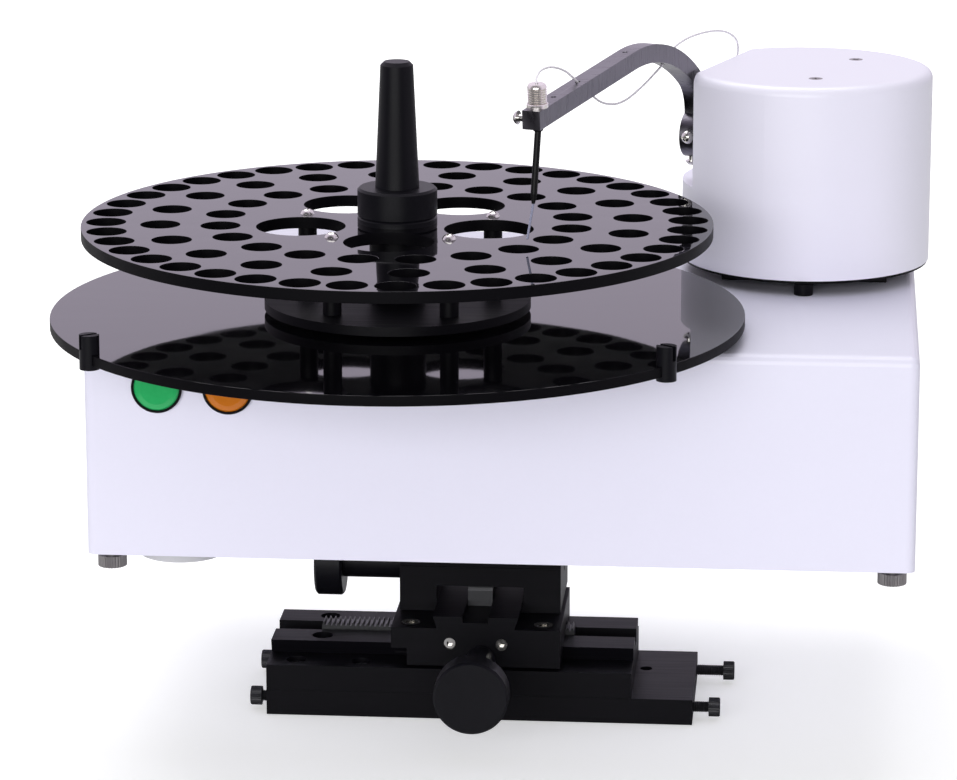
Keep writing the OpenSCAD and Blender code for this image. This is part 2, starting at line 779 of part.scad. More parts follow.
module carriage_block() {
    color("#15151a") at_saddle() difference() {
        translate([0, block_y, block_z]) block([block_w, block_d, block_h]);
        translate([0, block_y, saddle_z]) along_y(block_d + 2 * eps) dovetail(dove_w, dove_h, slide_gap + 0.2);
        translate([-slot_w / 2, block_y0 - eps, dove_z])
            cube([slot_w, block_d + 2 * eps, slot_rise]);
        translate([-tunnel_w / 2, block_y0 - eps, dove_z - eps])
            cube([tunnel_w, block_d + 2 * eps, y_rack_pitch_z + tooth_tip + 0.6 - dove_z + eps]);
        translate([-tunnel_w / 2, block_y, y_axis_z]) rod_x(y_pitch_r + tooth_tip + 0.6, tunnel_w);
        translate([-block_w / 2 - eps, block_y, y_axis_z]) rod_x(shaft_r + run_gap, block_w + 2 * eps);
    }
}

module riser_block() {
    color("#15151a") at_saddle() difference() {
        union() {
            translate([0, block_y, riser_z + riser_h - riser_flange])
                block([block_w + 2 * riser_lip, block_d + riser_lip, riser_flange]);
            translate([0, block_y, riser_z]) block([block_w, block_d, riser_h]);
        }
        translate([-tunnel_w / 2, block_y, y_axis_z]) rod_x(y_pitch_r + tooth_tip + 0.6, tunnel_w);
    }
}

module y_pinion() {
    color("#9a9aa0") at_saddle() translate([0, block_y, y_axis_z]) {
        translate([-block_w / 2 - slide_gap, 0, 0]) rod_x(shaft_r, block_w - 2);
        translate([-pinion_w / 2, 0, 0]) rotate([90, 0, 90])
            linear_extrude(pinion_w) rotate(-90) polygon(pinion_points(y_teeth));
    }
}

module y_knob() {
    color("#131318") at_saddle() translate([-block_w / 2 - slide_gap, block_y, y_axis_z]) rotate([0, -90, 0]) {
        cylinder(d = y_neck_d, h = y_neck_l);
        translate([0, 0, y_neck_l]) knob_body();
    }
}

// Housing

module housing_shell() {
    color("#ecebf6") difference() {
        translate([left_x, front_y, housing_z]) rounded_box([housing_w, housing_d, housing_h], edge_r);
        translate([left_x + sheet, front_y + sheet, housing_z - eps])
            rounded_box([housing_w - 2 * sheet, housing_d - 2 * sheet, housing_h - sheet + eps], edge_r - sheet);
        at_carousel(housing_top - sheet - eps) cylinder(r = bush_r + fit_gap, h = sheet + 2 * eps);
        translate([tower_x, tower_y, housing_top - sheet - eps])
            cylinder(r = bush_r + fit_gap, h = sheet + 2 * eps);
        for (i = [0, 1]) translate([button_x + i * button_pitch, front_y + sheet + eps, button_z])
            rod_front(button_r + fit_gap + slide_gap, sheet + 2 * eps);
        translate([left_x - eps, rocker_y - rocker_w / 2, rocker_z - rocker_h / 2])
            cube([sheet + 2 * eps, rocker_w, rocker_h]);
        translate([inlet_x - inlet.x / 2, back_y - sheet - eps, inlet_z - inlet.z / 2])
            cube([inlet.x, sheet + 2 * eps, inlet.z]);
    }
}

module bottom_cover() {
    inset = sheet + fit_gap;
    color("#dcdbe6") difference() {
        union() {
            translate([left_x + inset, front_y + inset, housing_z])
                cube([housing_w - 2 * inset, housing_d - 2 * inset, sheet]);
            for (f = foot_places) translate([f.x, f.y, housing_z]) cylinder(r = boss_r, h = boss_h);
            for (m = motor_places) translate([m.x, m.y, housing_z + sheet / 2]) difference() {
                block([motor_w, motor_w, bracket_h + sheet / 2]);
                translate([0, 0, sheet / 2]) block([motor_w - 4, motor_w + 2 * eps, bracket_h - 2]);
            }
        }
        for (f = foot_places) translate([f.x, f.y, housing_z - eps])
            cylinder(r = stud_r + run_gap, h = boss_h + 2 * eps);
    }
}

module bottom_cap() {
    cap_r = 20;
    cap_h = 4;
    color("#c9c9d0") translate([left_x + 38, front_y + 22.5, housing_z - cap_h]) difference() {
        cylinder(r1 = cap_r - 1.5, r2 = cap_r, h = cap_h);
        translate([0, 0, -eps]) cylinder(r = cap_r - 7, h = 1 + eps);
    }
}

module foot(place) {
    color("#a9a9ad") translate([place.x, place.y, housing_z - foot_h - 2]) {
        knurled_disc(foot_r, foot_h, 30);
        translate([0, 0, foot_h - eps]) cylinder(r = stud_r, h = boss_h + 4);
    }
}

module foot_front_left() {
    foot(foot_places[0]);
}

module foot_front_right() {
    foot(foot_places[1]);
}

module foot_back_left() {
    foot(foot_places[2]);
}

module foot_back_right() {
    foot(foot_places[3]);
}

module switch_bezels() {
    inner = button_r + slide_gap;
    color("#101014") {
        for (i = [0, 1]) translate([button_x + i * button_pitch, front_y, button_z]) difference() {
            rod_front(button_r + bezel_w + slide_gap, bezel_h);
            translate([0, eps, 0]) rod_front(inner, bezel_h + 2 * eps);
        }
        for (i = [0, 1]) translate([button_x + i * button_pitch, front_y + sheet + cup_l, button_z]) difference() {
            rod_front(button_r + bezel_w + 2, cup_l);
            translate([0, -2, 0]) rod_front(inner, cup_l);
        }
        translate([left_x - 1.2, rocker_y, rocker_z]) rocker_frame(1.2);
        difference() {
            translate([left_x + sheet, rocker_y, rocker_z]) rocker_frame(rocker_box_l);
            translate([left_x + rocker_pivot, rocker_y + rocker_w, rocker_z])
                rod_front(rocker_pin_r + run_gap, 2 * rocker_w);
        }
    }
}

// An open frame round the rocker, l deep
module rocker_frame(l) {
    translate([0, -rocker_w / 2, -rocker_h / 2]) difference() {
        translate([0, -rocker_wall, -rocker_wall]) cube([l, rocker_w + 2 * rocker_wall, rocker_h + 2 * rocker_wall]);
        translate([-eps, 0, 0]) cube([l + 2 * eps, rocker_w, rocker_h]);
    }
}

module push_button(i, tint) {
    crown = 1.4;
    l = sheet + bezel_h + button_proud + button_stem;
    color(tint) translate([button_x + i * button_pitch, front_y + sheet + button_stem, button_z]) rotate([90, 0, 0])
        rotate_extrude() polygon([
            [0, 0], [button_r, 0], [button_r, l - crown], [button_r - crown / 2, l - crown / 3],
            [button_r - 2 * crown, l], [0, l]]);
}

module green_button() {
    push_button(0, "#28b45f");
}

module orange_button() {
    push_button(1, "#c87814");
}

module power_rocker() {
    h = rocker_h / 2 - 2 * rocker_gap;
    pin_l = rocker_w + 1.5 * rocker_wall;
    color("#c03030") translate([left_x + rocker_pivot, rocker_y, rocker_z]) rotate([0, rocker_tilt, 0]) {
        along_y(rocker_w - 2 * rocker_gap)
            polygon([[3, -h], [3, h], [-rocker_rise - 1.5, h], [-rocker_rise, 0], [-rocker_rise - 1.5, -h]]);
        translate([0, pin_l / 2, 0]) rod_front(rocker_pin_r, pin_l);
    }
}

module power_inlet() {
    flange = 4;
    color("#141418") translate([inlet_x, back_y, inlet_z]) rotate([90, 0, 0]) difference() {
        union() {
            translate([0, 0, -2]) block([inlet.x + 2 * flange, inlet.z + 2 * flange, 2]);
            translate([0, 0, -1]) block([inlet.x - 2 * fit_gap, inlet.z - 2 * fit_gap, inlet.y + 1]);
        }
        translate([0, 0, -2 - eps]) block([inlet.x - 6, inlet.z - 6, inlet.y - 4]);
    }
}

module control_board() {
    board = [96, 70, 1.6];
    lift = 6;
    chips = [[-30, -18, 14], [0, 10, 20], [28, -15, 12], [-28, 18, 10]];
    color("#1d6b3c") translate([-25, 40, housing_z + sheet]) {
        translate([0, 0, lift]) block(board);
        for (x = [-1, 1], y = [-1, 1]) translate([x * (board.x / 2 - 4), y * (board.y / 2 - 4), 0])
            cylinder(r = 2.5, h = lift + eps);
        for (c = chips) translate([c.x, c.y, lift + board.z - 0.1]) block([c.z, c.z, 3]);
    }
}

module syringe_pump() {
    color("#c8ccd2") translate([pump_x, pump_y, pump_z]) difference() {
        block([pump_l, pump_w, pump_w]);
        translate([-pump_l / 2 + 10, 0, pump_axis]) rod_x(pump_bore, pump_l);
        translate([pump_l / 2 - 25, -pump_w / 2 - eps, pump_axis - 8]) cube([15, pump_w + 2 * eps, 30]);
    }
}

module pump_plunger() {
    color("#d8d8dc") translate([pump_x, pump_y, pump_z + pump_axis]) {
        translate([-pump_l / 2 + 12, 0, 0]) rod_x(pump_bore - run_gap, pump_l - 8);
        translate([pump_l / 2 + 4, 0, 0]) rod_x(9, 4);
    }
}

// Carousel

module lower_disc() {
    color("#0c0c10") at_carousel(disc_z) difference() {
        cylinder(r = disc_r, h = disc_t);
        translate([0, 0, -eps]) cylinder(r = bush_r + fit_gap, h = disc_t + 2 * eps);
    }
}

module rim_posts() {
    color("#0c0c10") for (a = post_angles) at_carousel(disc_z) rotate(a) difference() {
        translate([disc_r - 1, 0, -rim_post_down]) cylinder(r = rim_post_r, h = rim_post_down + disc_t + rim_post_up);
        translate([0, 0, -run_gap]) cylinder(r = disc_r + run_gap, h = disc_t + 2 * run_gap);
        translate([disc_r - 1 - rim_post_r - eps, -1, disc_t + 2]) cube([2 * rim_post_r + 2 * eps, 2, rim_post_up]);
    }
}

// A flanged bush: the flange stands on the housing, a spigot rises above it
module flanged_bush(spigot_h) {
    difference() {
        union() {
            translate([0, 0, -sheet - bush_l]) cylinder(r = bush_r, h = sheet + bush_l + spigot_h);
            children();
        }
        translate([0, 0, -sheet - bush_l - eps])
            cylinder(r = spindle_r + run_gap, h = sheet + bush_l + spigot_h + 2 * eps);
    }
}

module carousel_bearing() {
    color("#55555c") at_carousel(housing_top) flanged_bush(disc_gap + disc_t) cylinder(r = 30, h = disc_gap);
}

module stepper(h, bore) {
    corner = 4;
    difference() {
        intersection() {
            block([motor_w, motor_w, h]);
            rotate(45) block([motor_w * sqrt(2) - corner, motor_w * sqrt(2) - corner, h]);
        }
        translate([0, 0, h - 20]) cylinder(r = bore, h = 20 + eps);
    }
}

module carousel_motor() {
    color("#2c2c30") translate([motor_places[0].x, motor_places[0].y, motor_z])
        stepper(motor_h, motor_shaft_r + run_gap);
}

module tower_motor() {
    color("#2c2c30") translate([motor_places[1].x, motor_places[1].y, motor_z])
        stepper(motor_h, motor_shaft_r + run_gap);
}

module drive_pulley(place) {
    color("#b9b9bf") translate([place.x, place.y, pulley_z]) {
        pulley(drive_r, 0.01);
        translate([0, 0, -20]) cylinder(r = motor_shaft_r, h = 20 + pulley_h);
    }
}

module carousel_drive_pulley() {
    drive_pulley(motor_places[0]);
}

module tower_drive_pulley() {
    drive_pulley(motor_places[1]);
}

module carousel_belt() {
    color("#18181a") at_carousel(belt_z) belt(pulley_r, drive_r, carousel_motor_x - carousel_x, belt_h);
}

module tower_belt() {
    color("#18181a") translate([tower_x, tower_y, belt_z]) mirror([1, 0, 0])
        belt(pulley_r, drive_r, tower_x - tower_motor_x, belt_h);
}

module carousel_pulley() {
    color("#b9b9bf") at_carousel(pulley_z) pulley(pulley_r, spindle_r + run_gap);
}

module tower_pulley() {
    color("#b9b9bf") translate([tower_x, tower_y, pulley_z]) pulley(pulley_r, spindle_r + run_gap);
}

module turntable() {
    color("#1a1a1e") at_carousel(0) {
        translate([0, 0, turntable_z]) cylinder(r = turntable_r, h = turntable_t);
        translate([0, 0, pulley_z]) cylinder(r = spindle_r, h = turntable_z - pulley_z + eps);
        translate([0, 0, turntable_z]) cylinder(r = boss_post_r, h = plate_z - turntable_z);
        translate([0, 0, plate_z - eps]) cylinder(r = spigot_r, h = plate_t + spigot_up + eps);
    }
}

module standoffs() {
    color("#111114") at_carousel(turntable_z + turntable_t) ring_of(reagent_n, reagent_ring, screw_phase) difference() {
        cylinder(r = standoff_r, h = standoff_l);
        translate([0, 0, standoff_l - 10]) cylinder(r = plate_screw_r + fit_gap, h = 10 + eps);
    }
}

module sample_plate() {
    color("#0b0b0e") at_carousel(plate_z) difference() {
        cylinder(r = plate_r, h = plate_t);
        translate([0, 0, -eps]) {
            cylinder(r = spigot_r + fit_gap, h = plate_t + 2 * eps);
            ring_of(outer_n, outer_ring, outer_phase) cylinder(r = sample_r, h = plate_t + 2 * eps);
            ring_of(ring_n, middle_ring, middle_phase) cylinder(r = sample_r, h = plate_t + 2 * eps);
            ring_of(ring_n, inner_ring, inner_phase) cylinder(r = sample_r, h = plate_t + 2 * eps);
            ring_of(reagent_n, reagent_ring, reagent_phase) cylinder(r = reagent_r, h = plate_t + 2 * eps);
            ring_of(reagent_n, reagent_ring, screw_phase)
                cylinder(r = plate_screw_r + fit_gap, h = plate_t + 2 * eps);
        }
    }
}

module plate_screws() {
    color("#b8b8bc") at_carousel(plate_top) ring_of(reagent_n, reagent_ring, screw_phase)
        rotate(35) pan_screw(plate_screw_r, plate_screw_head, plate_screw_l);
}

module handle_collar() {
    line = 0.6;
    color("#0f0f12") at_carousel(plate_top) difference() {
        rotate_extrude() polygon([
            [0, 0], [collar_r, 0], [collar_r, 2], [collar_r - line, 2 + line], [collar_r, 2 + 2 * line],
            [collar_r, collar_h - 1], [collar_r - 1, collar_h], [0, collar_h]]);
        translate([0, 0, -eps]) cylinder(r = spigot_r + fit_gap, h = spigot_up + fit_gap + eps);
        translate([0, 0, collar_h - stub_l - fit_gap]) cylinder(r = stub_r + fit_gap, h = stub_l + fit_gap + eps);
    }
}

module handle_grip() {
    color("#0f0f12") at_carousel(plate_top + collar_h) {
        rotate_extrude() polygon([
            [0, 0], [grip_r0, 0], [grip_r1, grip_l - 1.5], [grip_r1 - 1.5, grip_l], [0, grip_l]]);
        translate([0, 0, -stub_l]) cylinder(r = stub_r, h = stub_l + eps);
    }
}

// Tower

module tower_bearing() {
    color("#121216") translate([tower_x, tower_y, housing_top]) flanged_bush(tower_plate.z)
        block(tower_plate);
}

module stop_post() {
    stop_r = 4.2;
    stop_off = 54;
    color("#121216") translate([tower_x, tower_y - stop_off, housing_top]) cylinder(r = stop_r, h = 5);
}

module tower_frame() {
    pillar = [24, 22];
    color("#1a1a1e") at_tower(0) {
        translate([0, 0, cover_z - tower_lip]) cylinder(r = tower_disc_r, h = tower_lip + tower_disc_t);
        translate([0, 0, cover_z - tower_lip]) cylinder(r = tower_r - 0.6, h = tower_lip);
        translate([0, 0, cover_z - tower_lift]) cylinder(r = tower_shoulder_r, h = tower_lift + eps);
        translate([0, 0, pulley_z]) cylinder(r = spindle_r, h = cover_z - pulley_z + eps);
        translate([hub_s, -arm_motor_y, cover_z + eps])
            block([pillar.x, pillar.y, hub_z - arm_motor_w / 2 - cover_z - eps]);
        for (s = post_s) translate([s, post_off, cover_z + eps]) difference() {
            cylinder(r = post_r, h = tower_h - tower_wall - eps);
            translate([0, 0, tower_h - tower_wall - 9]) cylinder(r = plate_screw_r + fit_gap, h = 12);
        }
    }
}

// The cover's form, drawn in by off all round
module cover_form(off) {
    r = tower_r - off;
    h = tower_h - off;
    e = cover_edge - off;
    difference() {
        rotate_extrude() difference() {
            square([r, h]);
            translate([r - e, h - e]) difference() {
                square([e + eps, e + eps]);
                circle(r = e);
            }
        }
        translate([-tower_r - eps, -tower_r - flat_off + off, notch_z - cover_z - off])
            cube([2 * tower_r + 2 * eps, tower_r, tower_h]);
    }
}

module tower_cover() {
    color("#efeefa") at_tower(cover_z) difference() {
        cover_form(0);
        cover_form(tower_wall);
        cylinder(r = tower_r - tower_wall, h = 2 * eps, center = true);
        translate([hub_s, -flat_off + tower_wall + 2 * eps, hub_z - cover_z])
            rod_front(pivot_r + 1, tower_wall + 4 * eps);
        translate([gland_s, -flat_off + tower_wall + 2 * eps, gland_up])
            rod_front(tube_d / 2 + 0.6, tower_wall + 4 * eps);
        for (s = post_s) translate([s, post_off, tower_h]) {
            translate([0, 0, -tower_wall - eps]) cylinder(r = plate_screw_r + fit_gap, h = tower_wall + 2 * eps);
            translate([0, 0, plate_screw_r - flat_head]) cylinder(
                r1 = plate_screw_r + fit_gap, r2 = flat_head + fit_gap + eps, h = flat_head - plate_screw_r + eps);
        }
    }
}

module tower_screws() {
    color("#b8b8bc") at_tower(cover_top) for (s = post_s) translate([s, post_off, 0])
        rotate(s) flat_screw(plate_screw_r, flat_head, tower_wall + 6);
}

module arm_motor() {
    color("#2c2c30") at_tower(hub_z) translate([hub_s, -arm_motor_y, 0]) rotate([90, 0, 0]) difference() {
        translate([0, 0, -arm_motor_l / 2]) block([arm_motor_w, arm_motor_w, arm_motor_l]);
        translate([0, 0, -arm_motor_l / 2 + 4]) cylinder(r = pivot_r + run_gap, h = arm_motor_l);
    }
}

module tube_gland() {
    color("#202026") at_tower(cover_z) translate([gland_s, -flat_off, gland_up]) rotate([90, 0, 0])
        rotate_extrude() polygon([[0, 0], [gland_r, 0], [gland_r, 1], [gland_r - 1, gland_l], [0, gland_l]]);
}

// Arm

// One side of the arm's two bends, at a distance off from the centreline, hub first
function bend_side(off) = concat(
    [for (i = [0 : bend_steps]) let (a = 180 - i * neck_turn / bend_steps)
        [neck_bend_r, neck_lift] + (neck_bend_r + off) * [cos(a), sin(a)]],
    [for (i = [1 : 2 * bend_steps]) let (a = neck_end - i * long_turn / (2 * bend_steps))
        bend2_c + (long_bend_r + off) * [cos(a), sin(a)]]);

function reversed(p) = [for (i = [len(p) - 1 : -1 : 0]) p[i]];

module arm_profile() {
    half = arm_t / 2;
    along = bar_l * [cos(bar_drop), -sin(bar_drop)];
    across = half * [sin(bar_drop), cos(bar_drop)];
    polygon(concat(
        [[-half, 0]], bend_side(half),
        [bar_0 + along + across, bar_0 + along - across],
        reversed(bend_side(-half)), [[half, 0]]));
}

// A slanted bore for the tubing, from one point of its route to the next
module tube_bore(p) {
    d = p[1] - p[0];
    over = 6;
    translate(p[0]) rotate([0, atan2(d.x, d.z), 0]) translate([0, 0, -over])
        cylinder(r = tube_d / 2 + bore_gap, h = norm(d) + 2 * over);
}

module arm_bar() {
    color("#4c4c55") difference() {
        union() {
            at_arm() along_y(arm_w) arm_profile();
            at_arm() translate([0, arm_w / 2, 0]) rod_front(hub_r, arm_w);
        }
        at_arm() translate([0, arm_w, 0]) rod_front(pivot_r + run_gap, 2 * arm_w);
        at_arm() translate([hub_r - 6, 0, 0]) rod_x(hub_screw_r + fit_gap, 8);
        at_arm() translate([0, stop_screw_y, -hub_r - 2]) cylinder(r = hub_screw_r + fit_gap, h = 8);
        at_bar() translate([thumb_at, 0, 0]) rod_front(hub_screw_r + fit_gap, arm_w);
        at_bar() translate([fitting_at, 0, -arm_t]) cylinder(r = probe_r, h = 2 * arm_t);
        for (p = [bore_a, bore_b]) at_tower(cover_z) tube_bore(p);
        for (x = set_holes) at_bar() translate([x, 0, arm_t / 2 - 3]) cylinder(r = set_hole_r, h = 4);
    }
}

module arm_shaft() {
    color("#b0b0b4") at_arm() translate([0, -arm_w / 2, 0]) rotate([-90, 0, 0])
        cylinder(r = pivot_r, h = arm_w + arm_gap + tower_wall + slide_gap + arm_motor_l - 6);
}

module arm_screws() {
    color("#b8b8bc") {
        at_arm() translate([hub_r, 0, 0]) rotate([0, 90, 0]) pan_screw(hub_screw_r, hub_screw_head, 5);
        at_arm() translate([0, stop_screw_y, -hub_r - 2]) rotate([180, 0, 0])
            pan_screw(hub_screw_r, hub_screw_head, 6);
        at_bar() translate([thumb_at, -arm_w / 2 - thumb_out, 0]) rotate([90, 0, 0])
            pan_screw(hub_screw_r, hub_screw_head, thumb_out + 3);
    }
}

module tube_fitting() {
    ridge = 1.2;
    n = 6;
    foot = 2;
    color("#bdb6ac") at_bar() translate([fitting_at, 0, arm_t / 2]) rotate_extrude() polygon(concat(
        [[0, 0], [fitting_r + 0.5, 0], [fitting_r + 0.5, foot - 0.4], [fitting_r - 0.3, foot]],
        [for (i = [0 : n - 1], k = [0, 1]) [fitting_r - (k == 0 ? 0 : 0.35), foot + (i + k / 2) * ridge]],
        [[fitting_r - 0.6, fitting_h], [0, fitting_h]]));
}

module probe_tube() {
    color("#0e0e10") at_bar() translate([fitting_at, 0, -arm_t / 2]) {
        translate([0, 0, -ferrule_h]) cylinder(r1 = probe_r + 0.6, r2 = probe_r + 1.2, h = ferrule_h);
        translate([0, 0, -ferrule_h + 0.6]) rotate([0, 180 - probe_lean, 0]) {
            cylinder(r = probe_r, h = probe_l - probe_tip_l);
            translate([0, 0, probe_l - probe_tip_l]) cylinder(r1 = probe_r, r2 = tip_r + 0.2, h = probe_tip_l);
        }
    }
}

module capillary_tip() {
    color("#d9dcec") at_bar() translate([fitting_at, 0, -arm_t / 2 - ferrule_h + 0.6])
        rotate([0, 180 - probe_lean, 0]) translate([0, 0, probe_l + 0.05]) rotate([0, probe_lean - tip_lean, 0])
            cylinder(r = tip_r, h = tip_l);
}

module sample_tubing() {
    color("#e9e6f2") at_tower(cover_z) tube(tube_route, tube_steps, tube_d / 2, [1, -1, 0]);
}

base_plate();
x_rail();
x_rack();
base_screws();
saddle();
y_rack();
saddle_screws();
x_knob();
x_pinion();
carriage_block();
riser_block();
y_knob();
y_pinion();
housing_shell();
bottom_cover();
bottom_cap();
switch_bezels();
green_button();
orange_button();
power_rocker();
power_inlet();
foot_front_left();
foot_front_right();
foot_back_left();
foot_back_right();
lower_disc();
rim_posts();
carousel_bearing();
carousel_motor();
carousel_drive_pulley();
carousel_belt();
carousel_pulley();
turntable();
standoffs();
sample_plate();
plate_screws();
handle_collar();
handle_grip();
tower_bearing();
stop_post();
tower_motor();
tower_drive_pulley();
tower_belt();
tower_pulley();
tower_frame();
tower_cover();
tower_screws();
arm_motor();
tube_gland();
arm_shaft();
arm_bar();
arm_screws();
tube_fitting();
probe_tube();
capillary_tip();
sample_tubing();
control_board();
syringe_pump();
pump_plunger();
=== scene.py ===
"""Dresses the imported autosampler: tubing, eased edges, finishes and a plain studio."""
import json
import math
import bmesh
import bpy
from bpy.props import FloatProperty, FloatVectorProperty, PointerProperty
from mathutils import Matrix, Vector


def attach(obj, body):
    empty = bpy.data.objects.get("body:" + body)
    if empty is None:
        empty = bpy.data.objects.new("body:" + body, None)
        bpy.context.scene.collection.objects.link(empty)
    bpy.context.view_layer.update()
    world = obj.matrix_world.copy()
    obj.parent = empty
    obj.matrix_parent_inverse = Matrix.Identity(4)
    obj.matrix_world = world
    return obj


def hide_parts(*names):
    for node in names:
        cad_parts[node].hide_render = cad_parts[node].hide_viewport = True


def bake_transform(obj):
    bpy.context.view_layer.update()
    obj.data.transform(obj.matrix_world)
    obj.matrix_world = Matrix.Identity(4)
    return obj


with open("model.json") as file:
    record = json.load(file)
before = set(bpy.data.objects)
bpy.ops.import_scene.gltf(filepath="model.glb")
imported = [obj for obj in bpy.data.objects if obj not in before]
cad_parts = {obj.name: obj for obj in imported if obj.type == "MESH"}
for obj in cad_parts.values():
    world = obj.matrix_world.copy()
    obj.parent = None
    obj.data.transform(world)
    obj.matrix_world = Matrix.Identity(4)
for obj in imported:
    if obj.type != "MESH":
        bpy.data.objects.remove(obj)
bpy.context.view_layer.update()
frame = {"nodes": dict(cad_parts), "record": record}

bl_info = {
    "name": "Autosampler dressing",
    "version": (1, 0, 0),
    "blender": (4, 5, 0),
    "location": "View3D > Sidebar > Autosampler",
    "description": "Tubing, eased edges, finishes and a studio for a carousel autosampler",
    "category": "Object",
}

MM = 0.001
UP = Vector((0, 0, 1))
WHITE = (1, 1, 1, 1)

# Sizes and places repeated from the part's source, in millimetres: first the base plate
BASE_L = 189
BASE_D = 71
BASE_H = 11.5
# The screws in the base's ends: end, row, and how far the head stands off the plate
CLAMP_SCREWS = ((-1, -1, 3), (-1, 1, 5), (1, -1, 7), (1, 1, 12))
# The distance of their rows from the plate's sides, and the depth of their holes
CLAMP_INSET = 9
CLAMP_DEPTH = 9
# The rail's bolts: place along X and Y, and the height of the face that each is sunk in
RAIL_BOLTS = ((-82, -26.5, 23), (-53, -26.5, 23), (-72, 20.6, 29))
BOLT_SINK = 7
# Room between a screw's point and the end of its hole
SCREW_ROOM = 1
# The foot of the tower's cover, the arm's heading, and the distance of its plane from the tower's axis
TOWER = Vector((139.5, 80.5, 187.9))
ARM_YAW = math.radians(250.7)
ARM_OFF = 46.0
# The middle of the tube fitting's top in the tower's frame, and how far the fitting leans
FITTING_TOP = (202.772, -ARM_OFF, 108.755)
FITTING_LEAN = math.radians(4.7)

# The tubing's route in the tower's frame, heights above the cover's foot; it leaves the fitting straight
TUBE_LIFT = 2.5
TUBE_ROUTE = [
    FITTING_TOP,
    (FITTING_TOP[0] + TUBE_LIFT * math.sin(FITTING_LEAN), -ARM_OFF,
     FITTING_TOP[2] + TUBE_LIFT * math.cos(FITTING_LEAN)),
    (199, -ARM_OFF, 113.4), (191, -ARM_OFF, 113.6), (182, -ARM_OFF, 112), (173, -ARM_OFF, 109.2),
    (165.5, -ARM_OFF, 105.7), (159, -ARM_OFF, 102.2), (146, -ARM_OFF, 95.4),
    (133, -ARM_OFF, 89.3), (119, -ARM_OFF, 86), (108, -ARM_OFF, 85.4), (97, -ARM_OFF, 86.4),
    (80, -ARM_OFF, 89.6), (60.5, -ARM_OFF, 94.6), (50, -ARM_OFF, 98.8),
    (43.5, -ARM_OFF, 100.4), (27, -ARM_OFF, 101.3), (3, -ARM_OFF, 100), (-17, -ARM_OFF, 96.5),
    (-33, -47, 90), (-42, -50, 81), (-43, -54, 71), (-38, -56, 63), (-32, -52, 60),
    (-30, -46, 60), (-30, -43, 60),
]
# Drawn points for each stretch of the route, and the roundness of the tube's section
TUBE_STEPS = 6
TUBE_ROUNDNESS = 4

# The tube fitting, in millimetres
FITTING_H = 10.0
FITTING_R = 4.1
FITTING_SIDES = 48
# Its foot: height, how far it stands out, its chamfer, and the step from there to the first groove
FOOT_H = 1.9
FOOT_RIM = 0.5
FOOT_CHAMFER = 0.3
FOOT_STEP = 0.1
# Its ridges: pitch, depth, where a crest starts and ends as shares of the pitch, and the room above them
RIDGE_PITCH = 1.0
RIDGE_DEPTH = 0.6
CREST_START = 0.3
CREST_END = 0.65
RIDGE_ROOM = 0.6
# Its top: radius at the shoulder and at the face, the height between them, and the bore
SHOULDER_R = 3.75
FACE_R = 3.3
SHOULDER_DROP = 0.5
BORE_R = 0.7
BORE_DEPTH = 1.5

# An M5 socket cap screw, in metres
SCREW_R = 2.5 * MM
THREAD_PITCH = 0.8 * MM
THREAD_DEPTH = 0.35 * MM
THREAD_SIDES = 28
HEAD_R = 4.25 * MM
HEAD_H = 5 * MM
# Points round the head; every second one lies in the valley of a knurl, at this share of the radius
HEAD_POINTS = 64
KNURL_VALLEY = 0.96
# The head's side and then its chamfer: rise as a share of the height, and the width at the top of it
HEAD_STEPS = ((0.9, 1.0), (0.1, 0.93))
# The socket: its rim as a share of the head's radius, and its depth as a share of the head's height
SOCKET_RIM = 0.42
SOCKET_DEPTH = 0.5
# Half the socket's width across flats, and the turn from one flat to the next
SOCKET_HALF = 2.05 * MM
SOCKET_TURN = math.tau / 6

# Points closer than this are joined, in metres: in copies of CAD nodes, and in new pieces
NODE_WELD = 1e-6
PIECE_WELD = 1e-7
# Faces that meet at less than the first angle become one, and edges over the second are broken
FLAT_ANGLE = math.radians(0.5)
EDGE_ANGLE = math.radians(35)
EDGE_SEGMENTS = 2
EDGE_PROFILE = 0.5
# Edges over these angles are shaded as sharp: in most pieces, and on the fitting's ridges
SHADE_ANGLE = math.radians(32)
RIDGE_SHADE_ANGLE = math.radians(25)
# The nodes whose edges are eased
MILLED_NODES = ("base_plate", "x_rail", "saddle", "carriage_block", "riser_block", "tower_bearing",
                "arm_bar")
DISC_NODES = ("sample_plate", "lower_disc")
# A disc's face is polished where the upward part of its normal is more than this
POLISHED_RISE = 0.5

# The studio, in metres: half the floor's width, and its middle, far behind the object and just below it
FLOOR_HALF = 8
FLOOR_PLACE = (0, 7.6, -0.0003)
FLOOR_DARK = (0.86, 0.86, 0.87, 1)
FLOOR_LIGHT = (0.9, 0.9, 0.91, 1)
FLOOR_GRAIN = {"Fine scale": 40, "Slow scale": 1.5}
# To the camera the floor glows, more with the distance from the object
GLOW_REACH = (0.35, 1.8)
GLOW_STRENGTH = (0.4, 0.75)
# In reflections the sky is tinted, and it darkens towards a dim room on the camera's side
SKY_TINT = (0.9, 0.81, 0.98, 1)
ROOM_WAY = (-0.2, -0.98, 0)
ROOM_EDGE = (0.1, 0.75)
ROOM_LIGHT = (1, 0.06)
# The lamps' places and sizes, and the point that both of them face
FRONT_LAMP_PLACE = (-0.5, -3.0, 0.7)
FRONT_LAMP_SIZE = (3.0, 1.4)
TOP_LAMP_PLACE = (-0.4, 1.2, 3.0)
TOP_LAMP_SIZE = (2.6, 2.6)
LAMP_AIM = Vector((0, 0, 0.16))
